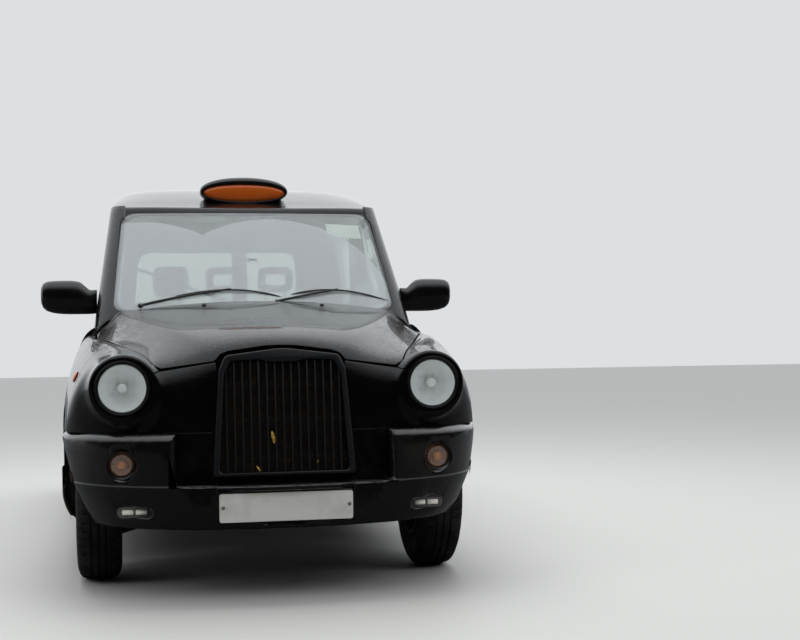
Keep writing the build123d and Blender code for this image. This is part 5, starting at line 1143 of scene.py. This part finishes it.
def oval(rx, rz, power, n=96):
    """Points round a superellipse."""
    a = np.arange(n) / n * 2 * np.pi
    c, s = np.cos(a), np.sin(a)
    return np.stack([rx * np.sign(c) * np.abs(c) ** (2 / power), rz * np.sign(s) * np.abs(s) ** (2 / power)], axis=1)


def oval_loft(rows, mid, power, lean=0.0):
    """Grid of superellipses one behind the other: rows of (place in depth, half width, half height, rise)."""
    return np.stack([np.concatenate([oval(rx, rz, power), np.zeros((96, 1))], axis=1)[:, [0, 2, 1]]
                     + np.array([mid[0], mid[1] + y, mid[2] + rise]) for y, rx, rz, rise in rows], axis=1)


hx, hy, hz = SIGN_HALF
shell = [(-hy + 0.014, hx - 0.018, hz - 0.028, -0.010), (-hy + 0.004, hx - 0.014, hz - 0.0245, -0.009),
         (-hy + 0.001, hx - 0.010, hz - 0.018, -0.006), (-hy + 0.006, hx - 0.004, hz - 0.008, -0.002), (-hy + 0.018, hx, hz, 0),
         (0.0, hx, hz, 0), (0.030, hx - 0.002, hz - 0.003, -0.002), (0.050, hx - 0.012, hz - 0.013, -0.008),
         (0.062, hx - 0.035, hz - 0.030, -0.014), (hy, hx - 0.070, hz - 0.045, -0.018), (hy, 0.001, 0.001, -0.018)]
grid = oval_loft(shell, SIGN_MID, SIGN_POWER)
sign = mesh_piece("roof_sign_shell", [(grid, grid_quads(*grid.shape[:2], round_u=True))], bumper_plastic, "body")
lens_rows = [(-hy + 0.013, hx - 0.0175, hz - 0.0275, -0.010), (-hy + 0.006, hx - 0.022, hz - 0.031, -0.010),
             (-hy + 0.002, hx - 0.045, hz - 0.041, -0.010), (-hy + 0.0005, hx - 0.10, hz - 0.054, -0.010),
             (-hy + 0.0003, 0.001, 0.0005, -0.010)]
grid = oval_loft(lens_rows, SIGN_MID, SIGN_POWER)
mesh_piece("roof_sign_lens", [(grid, grid_quads(*grid.shape[:2], round_u=True))], amber_lens, "body")
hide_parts("roof_sign")

# Door mirrors: a smooth pod of gloss black plastic that swells out of a thick arm, its glass facing back
MIRROR_ROWS = [(0.738, -0.838, 1.262, 1.150, 0.014), (0.752, -0.832, 1.262, 1.147, 0.026),
               (0.775, -0.822, 1.262, 1.146, 0.036), (0.798, -0.814, 1.284, 1.146, 0.046),
               (0.822, -0.810, 1.304, 1.146, 0.051), (0.855, -0.808, 1.3085, 1.146, 0.052),
               (0.900, -0.808, 1.3085, 1.147, 0.052), (0.940, -0.808, 1.3075, 1.152, 0.051),
               (0.972, -0.806, 1.304, 1.162, 0.047), (0.990, -0.804, 1.294, 1.178, 0.039),
               (0.999, -0.802, 1.276, 1.200, 0.024), (1.002, -0.800, 1.240, 1.238, 0.001)]
MIRROR_BACK_Y = -0.770
mirror_glass, tree, out, shader = new_material("mirror_glass")
shader.inputs["Base Color"].default_value = to_linear("E2E6E8")
shader.inputs["Metallic"].default_value = 1.0
shader.inputs["Roughness"].default_value = 0.02
rows = np.array(MIRROR_ROWS)
t = np.linspace(0, 1, 60)
t = 0.5 * t + 0.5 * np.sin(np.pi / 2 * t)
smooth_rows = np.stack([np.interp(t, np.linspace(0, 1, len(rows)), rows[:, k]) for k in range(5)], axis=1)
kernel = np.array([1, 2, 3, 2, 1]) / 9
for k in range(1, 5):
    padded = np.concatenate([smooth_rows[:1, k].repeat(2), smooth_rows[:, k], smooth_rows[-1:, k].repeat(2)])
    smooth_rows[:, k] = np.convolve(padded, kernel, "valid")
angle = (np.arange(64) / 64 * 2 * np.pi)[None, :]
c = np.sign(np.cos(angle)) * np.abs(np.cos(angle)) ** 0.85
s_round = np.sign(np.sin(angle)) * np.abs(np.sin(angle)) ** 0.85
x, mid_y, top, low, half_y = (smooth_rows[:, k:k + 1] for k in range(5))
pod_y = np.minimum(mid_y + half_y * c, MIRROR_BACK_Y)
pod = np.stack([x + 0 * c, pod_y, (top + low) / 2 + (top - low) / 2 * s_round], axis=-1)
pane = oval_loft([(0.0, 0.093, 0.064, 0), (0.0008, 0.05, 0.035, 0), (0.001, 0.0005, 0.0005, 0)],
                 (0.896, MIRROR_BACK_Y + 0.0002, 1.229), 3.0)
for side, s in (("left", 1), ("right", -1)):
    flip = np.array([s, 1, 1])
    head = mesh_piece(f"mirror_housing_{side}", [(pod * flip, grid_quads(*pod.shape[:2], round_v=True))], bumper_plastic,
                      f"front_door_{side}")
    mesh_piece(f"mirror_glass_{side}", [(pane * flip, grid_quads(*pane.shape[:2], round_u=True))], mirror_glass,
               f"front_door_{side}")
    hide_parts(f"mirror_{side}")

# Small front fittings: amber side repeaters on the wings, washer jets on the bonnet, leaf scraps in the grille
leaf_yellow = finish("leaf_yellow", "B08A34", 0.6, second="6B4B1E", patch_mm=12)
for side, s in (("left", 1), ("right", -1)):
    base = push_along(np.array([[0.0, -1.750, 0.872]]), 0, 0.3, 1.0)[0]
    out_way = np.array([1.0, 0.0, 0.35])
    out_way = out_way / np.linalg.norm(out_way)
    a = np.linspace(0, np.pi / 2, 10)
    dome, quads = revolved([(0.010 * math.sin(k) - 0.001, 0.0245 * math.cos(k) + 0.0001) for k in a], (0, 0, 0), out_way, 40)
    dome = dome * np.array([1, 1.35, 1]) + base
    mesh_piece(f"side_repeater_{side}", [(dome * np.array([s, 1, 1]), quads)], amber_lens, "body")
jets = []
for x in (-0.251, 0.295):
    base = from_plan([(x, -1.2), (x, -1.2)], 2, [0, 1])[0]
    jets.append(revolved([(-0.002, 0.011), (0.002, 0.011), (0.006, 0.008), (0.008, 0.004), (0.0085, 0.0003)], base,
                         (0, -0.15, 1), 20))
mesh_piece("washer_jets", jets, black_rubber, "bonnet")
leaves = []
for x, z, tall, turn_deg in ((-0.044, 0.635, 0.050, 12), (-0.104, 0.516, 0.026, 35), (0.128, 0.536, 0.016, -40)):
    u, v = np.meshgrid(np.linspace(-1, 1, 7), np.linspace(-1, 1, 13), indexing="ij")
    w = tall * 0.13 * u * np.sqrt(np.clip(1.02 - v ** 2, 0, 1))
    h = tall / 2 * v
    c, k = math.cos(math.radians(turn_deg)), math.sin(math.radians(turn_deg))
    y = GRILLE_Y + 0.010 + (z - GRILLE_FOOT_Z) * math.tan(NOSE_LEAN) - 0.004 * np.cos(2 * v) + 0.002 * u
    leaves.append((np.stack([x + c * w - k * h, y, z + k * w + c * h], axis=-1), grid_quads(7, 13)))
mesh_piece("leaf_scraps", leaves, leaf_yellow, "body")
# Inside: moulded dark plastic dashboard and steering wheel, a steel partition with clear plastic panes
trim_plastic = finish("trim_plastic", "1D1F21", 0.6, bump_mm=0.15, grain_mm=1.2)
refined("dashboard", trim_plastic, 0.012, 25)
refined("steering_wheel", trim_plastic, 0.0015)
refined("partition", trim_plastic, 0.003)
panes = [closed_face(cushion_plate(0.556, 0.436, 0.02, [(0, 0), (0, 0.004)]), facing_front(x, -0.119, 1.340))
         for x in (-0.320, 0.320)]
mesh_of("partition_panes", panes, clear_plastic, "body")
hood = oval_loft([(-0.02, 0.002, 0.002, 0), (-0.015, 0.13, 0.030, 0), (0.02, 0.17, 0.045, 0), (0.10, 0.175, 0.050, 0),
                  (0.12, 0.170, 0.046, 0), (0.11, 0.160, 0.038, 0), (0.06, 0.158, 0.034, 0), (0.055, 0.002, 0.001, 0)],
                 (-0.370, -0.930, 1.075), 3.0)
mesh_piece("instrument_hood", [(hood, grid_quads(*hood.shape[:2], round_u=True))], trim_plastic, "body")
paper_white = finish("paper_white", "E6E6E2", 0.7)
papers = []
for x, y, w, d, turn_deg in ((-0.455, -1.010, 0.21, 0.10, 6), (-0.600, -1.000, 0.06, 0.12, -4), (0.30, -1.000, 0.15, 0.08, 10)):
    u, v = np.meshgrid(np.linspace(-1, 1, 12), np.linspace(-1, 1, 8), indexing="ij")
    c, k = math.cos(math.radians(turn_deg)), math.sin(math.radians(turn_deg))
    px, py = u * w / 2, v * d / 2
    papers.append((np.stack([x + c * px - k * py, y + k * px + c * py, 1.0785 + 0.006 * u ** 2 + 0.003 * v ** 2], axis=-1),
                   grid_quads(12, 8)))
mesh_piece("dash_papers", papers, paper_white, "body")
stickers = [([(0.384, 1.590), (0.558, 1.582), (0.562, 1.512), (0.401, 1.521)]), None]
u, v = np.meshgrid(np.linspace(0, 1, 10), np.linspace(0, 1, 6), indexing="ij")
quad = np.array(stickers[0])
flat_xz = ((1 - u) * (1 - v))[..., None] * quad[0] + (u * (1 - v))[..., None] * quad[1] \
    + (u * v)[..., None] * quad[2] + ((1 - u) * v)[..., None] * quad[3]
a = np.arange(25) / 24 * 2 * np.pi
disc = np.array([0.53, 1.248]) + np.stack([np.linspace(0.001, 0.040, 6)[None, :] * np.cos(a)[:, None],
                                           np.linspace(0.001, 0.040, 6)[None, :] * np.sin(a)[:, None] * 0.8], axis=-1)
stuck = []
for sheet_xz in (flat_xz, disc):
    points = np.array([touch("fixed_glass", (x, -2, z), (0, 1, 0))[0] for x, z in sheet_xz.reshape(-1, 2)])
    points[:, 1] += 0.0085
    stuck.append((points, grid_quads(*sheet_xz.shape[:2])))
mesh_piece("screen_stickers", stuck, paper_white, "body")

# Seats: foam cushions and backs under blue-grey cloth, sewn in upright flutes, with head restraints on steel rods
cloth, tree, out, shader = new_material("seat_cloth")
place = add_node(tree, "ShaderNodeTexCoord").outputs["Object"]
weave = add_node(tree, "ShaderNodeTexVoronoi", {"feature": "F1"}, {"Scale": 1000 / 3.0}, {"Vector": place})
mix = add_node(tree, "ShaderNodeMix", {"data_type": "RGBA"}, {6: to_linear("333B44"), 7: to_linear("4B5560")},
               {0: weave.outputs["Distance"]})
tree.links.new(mix.outputs[2], shader.inputs["Base Color"])
bump = add_node(tree, "ShaderNodeBump", inputs={"Distance": 0.0006}, links={"Height": weave.outputs["Distance"]})
tree.links.new(bump.outputs[0], shader.inputs["Normal"])
shader.inputs["Roughness"].default_value = 0.9
shader.inputs["Sheen Weight"].default_value = 0.3


def cushion_grid(low, high, power=5.0, flute=0.0, count=0, n=(48, 96)):
    """Cushion: a superellipsoid between two corners, its faces dented along upright flutes."""
    low, high = np.array(low), np.array(high)
    mid, half = (low + high) / 2, (high - low) / 2
    a = np.linspace(-np.pi / 2, np.pi / 2, n[0])[:, None]
    b = (np.arange(n[1]) / n[1] * 2 * np.pi)[None, :]
    d = np.stack([np.cos(a) * np.cos(b), np.cos(a) * np.sin(b), np.sin(a) + 0 * b], axis=-1)
    size_of = (np.abs(d) ** power).sum(-1) ** (1 / power)
    d = d / size_of[..., None]
    if count:
        dent = 1 - flute * np.abs(np.cos(count * np.pi * (d[..., 0] + 1) / 2)) ** 8 * (1 - np.abs(d[..., 0]) ** 6)
        d = d * np.stack([np.ones_like(dent), dent, dent], axis=-1)
    return mid + d * half


def cushion(name, boxes, body):
    """Padded piece of cushion grids between the corners in boxes, each with its flute depth and count."""
    parts = [(g, grid_quads(*g.shape[:2], round_v=True)) for g in
             (cushion_grid(low, high, 5.0, flute, count) for low, high, flute, count in boxes)]
    obj = mesh_piece(name, parts, cloth, body)
    return obj


def ring_grid(x, y, z, w, h, thick, band, corner):
    """Hollow head restraint: a rounded rectangular ring of oval section."""
    outer = rounded_outline(w, h, corner, 14)
    inner = rounded_outline(w - 2 * band, h - 2 * band, corner * 0.55, 14)
    a = (np.arange(20) / 20 * 2 * np.pi)[None, :]
    c = np.sign(np.cos(a)) * np.abs(np.cos(a)) ** 0.7
    mid, half = (outer + inner) / 2, (outer - inner) / 2
    flat = mid[:, None] + half[:, None] * c[..., None]
    depth = np.broadcast_to(thick / 2 * np.sign(np.sin(a)) * np.abs(np.sin(a)) ** 0.7, flat.shape[:2])
    return np.stack([x + flat[..., 0], y + depth, z + flat[..., 1]], axis=-1)


cushion("driver_cushion", [((-0.560, -0.560, 0.640), (-0.180, -0.200, 0.775), 0.02, 5),
                           ((-0.560, -0.320, 0.700), (-0.180, -0.190, 1.185), 0.03, 5),
                           ((-0.460, -0.270, 1.240), (-0.280, -0.200, 1.400), 0.0, 0)], "body")
cushion("bench_cushion", [((x0, 0.760, 0.770), (x1, 1.080, 0.915), 0.02, 4) for x0, x1 in ((-0.64, -0.215), (-0.215, 0.215), (0.215, 0.64))]
        + [((x0, 1.050, 0.850), (x1, 1.180, 1.245), 0.03, 4) for x0, x1 in ((-0.64, -0.215), (-0.215, 0.215), (0.215, 0.64))], "body")
rests = [(g, grid_quads(*g.shape[:2], round_u=True, round_v=True)) for g in
         (ring_grid(x, 1.120, 1.380, 0.220, 0.160, 0.058, 0.046, 0.050) for x in (-0.325, 0.0, 0.325))]
rest = mesh_piece("bench_rests", rests, cloth, "body")
cushion("tip_seats", [((x0, -0.106, 0.755), (x1, -0.036, 1.060), 0.02, 3) for x0, x1 in ((-0.56, -0.16), (0.16, 0.56))]
        + [((x0, -0.110, 0.562), (x1, -0.022, 0.752), 0.02, 3) for x0, x1 in ((-0.55, -0.17), (0.17, 0.55))], "body")
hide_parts("folding_seats")
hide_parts("rear_bench")
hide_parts("driver_seat")
black_frame = finish("seat_frame", "17181A", 0.5)
frames = [bar(np.linspace((x + dx, y, z0), (x + dx, y, z1), 6), 0.014, 0.014, (0, 1, 0), 14)
          for x, y, z0, z1, spread in ((-0.370, -0.235, 1.15, 1.27, 0.04), (-0.325, 1.120, 1.20, 1.32, 0.06),
                                       (0.0, 1.120, 1.20, 1.32, 0.06), (0.325, 1.120, 1.20, 1.32, 0.06))
          for dx in (-spread, spread)]
mesh_piece("rest_rods", frames, zinc_steel, "body")
plinths = [((-0.530, -0.540, 0.4505), (-0.210, -0.210, 0.660)), ((-0.60, 0.790, 0.4505), (0.60, 1.03, 0.790)),
           ((-0.38, 0.80, 0.66), (0.38, 1.17, 0.80))]
bases = []
for low, high in plinths:
    g = cushion_grid(low, high, 12.0)
    bases.append((g, grid_quads(*g.shape[:2], round_v=True)))
mesh_piece("seat_plinths", bases, black_frame, "body")

# Door and boot furniture: gloss black plastic pull handles, a key cylinder under each one on the doors,
# and a blank rear plate of pale yellow plastic stuck to the boot lid and bent to it
HANDLES = [("front_door_left", 1, -0.120), ("front_door_right", -1, -0.120), ("rear_door_left", 1, 0.140),
           ("rear_door_right", -1, 0.140)]
HANDLE_Z, HANDLE_LONG, HANDLE_TALL, HANDLE_OUT = 0.965, 0.150, 0.030, 0.020
DOOR_LEAN = 0.367


def handle_bar(centre, s):
    """Bar carried along Y on a low arch: its half thickness follows a superellipse, its round section is 2 by 1."""
    t = np.linspace(-1, 1, 40)[:, None]
    a = (np.arange(24) / 24 * 2 * np.pi)[None, :]
    size = (1 - np.abs(t) ** 6 + 1e-4) ** (1 / 6)
    out_x = HANDLE_OUT * (1 - np.abs(t) ** 5) - 0.004 + 0.007 * size * np.cos(a)
    z = HANDLE_TALL / 2 * size * np.sin(a)
    return np.stack([centre[0] + s * out_x, centre[1] + HANDLE_LONG / 2 * t + 0 * a, centre[2] + z], axis=-1)


for door, s, y in HANDLES:
    spot = touch(door, (s * 2.0, y, HANDLE_Z), (-s, 0, 0))[0]
    bar_shape = handle_bar(spot, s)
    lock = touch(door, (s * 2.0, y, HANDLE_Z - 0.045), (-s, 0, 0))[0]
    parts = [(bar_shape, grid_quads(*bar_shape.shape[:2], round_v=True)),
             revolved([(-0.002, 0.012), (0.002, 0.012), (0.0028, 0.010), (0.0022, 0.004), (0.0022, 0.0003)],
                      tuple(lock), (s, 0, DOOR_LEAN), 24)]
    mesh_piece(f"door_handle_{door}", parts, bumper_plastic, door)
REAR_PLATE_Z, REAR_PLATE_W = 0.800, 0.520
plate_yellow = finish("plate_yellow", "D8B93C", 0.35, second="C3A637", patch_mm=160, cover=0.4)
LID_LEAN, LID_CURVE, LID_BOW, BOOT_GRIP_Z, PLATE_BED = 0.1855, 0.529, 0.2234, 0.910, 0.0005
lid_middle_y = touch("boot_lid", (0, 3, REAR_PLATE_Z), (0, -1, 0))[0][1]


def lid_face(x, z):
    """Rear face of the boot lid: a parabola across and one up it, from its middle at the plate's height."""
    rise = z - REAR_PLATE_Z
    return lid_middle_y - LID_LEAN * rise - LID_CURVE * rise ** 2 - LID_BOW * x ** 2


def rear_plate_grid(n=(61, 11)):
    """Plate bent to the lid: columns across it, each one's half height cut down by a circle near the corners."""
    u = np.sin(np.pi / 2 * np.linspace(-1, 1, n[0]))[:, None]
    v = np.linspace(-1, 1, n[1])[None, :]
    x = -REAR_PLATE_W / 2 * u + 0 * v
    over = np.clip(np.abs(x) - (REAR_PLATE_W / 2 - PLATE_CORNER), 0, PLATE_CORNER)
    half_height = PLATE_H / 2 - PLATE_CORNER + np.sqrt(PLATE_CORNER ** 2 - over ** 2)
    z = REAR_PLATE_Z + v * half_height
    return np.stack([x, lid_face(x, z) + PLATE_BED, z], axis=-1)


grid = rear_plate_grid()
rear_plate = mesh_piece("rear_plate", [(grid, grid_quads(*grid.shape[:2]))], plate_yellow, "boot_lid")
thick = rear_plate.modifiers.new("thickness", "SOLIDIFY")
thick.thickness = PLATE_T
thick.offset = 1
grip = handle_bar((0, 0, 0), 1)
grip_x, grip_z = grip[..., 1], BOOT_GRIP_Z + grip[..., 2]
grip = np.stack([grip_x, lid_face(grip_x, grip_z) + grip[..., 0], grip_z], axis=-1)
mesh_piece("boot_handle", [(grip, grid_quads(*grip.shape[:2], round_v=True))], bumper_plastic, "boot_lid")

# Rear lamps: a moulded cluster on each side, red for tail and brake, amber for the indicator and clear for reversing,
# in bands above each other behind ribbed covers, each cluster fixed from inside the boot
LAMP_BANDS = [(0.690, 0.757, "B9B4AE", "reversing_cover"), (0.757, 0.824, "A8501A", "amber_cover"),
              (0.824, 0.905, "7A0E10", "red_cover")]
RIB_MM = 5
lamp_cover, tree, out, shader = new_material("lamp_covers")
place = add_node(tree, "ShaderNodeTexCoord").outputs["Object"]
axes = add_node(tree, "ShaderNodeSeparateXYZ", links={0: place})
colour = None
for low, high, tint, name in LAMP_BANDS:
    above = add_node(tree, "ShaderNodeMath", {"operation": "GREATER_THAN"}, {1: low}, {0: axes.outputs["Z"]})
    layer = add_node(tree, "ShaderNodeMix", {"data_type": "RGBA", "label": name}, {6: to_linear(tint), 7: to_linear(tint)},
                     {0: above.outputs[0]})
    if colour is not None:
        tree.links.new(colour, layer.inputs[6])
    colour = layer.outputs[2]
tree.links.new(colour, shader.inputs["Base Color"])
ribs = add_node(tree, "ShaderNodeTexWave", {"bands_direction": "X"}, {"Scale": 1000 / RIB_MM / 20}, {"Vector": place})
raised = add_node(tree, "ShaderNodeBump", inputs={"Distance": 0.0006, "Strength": 0.6}, links={"Height": ribs.outputs["Color"]})
tree.links.new(raised.outputs[0], shader.inputs["Normal"])
shader.inputs["Roughness"].default_value = 0.12
shader.inputs["Coat Weight"].default_value = 1.0
refined("tail_lamps", lamp_cover, 0.004)
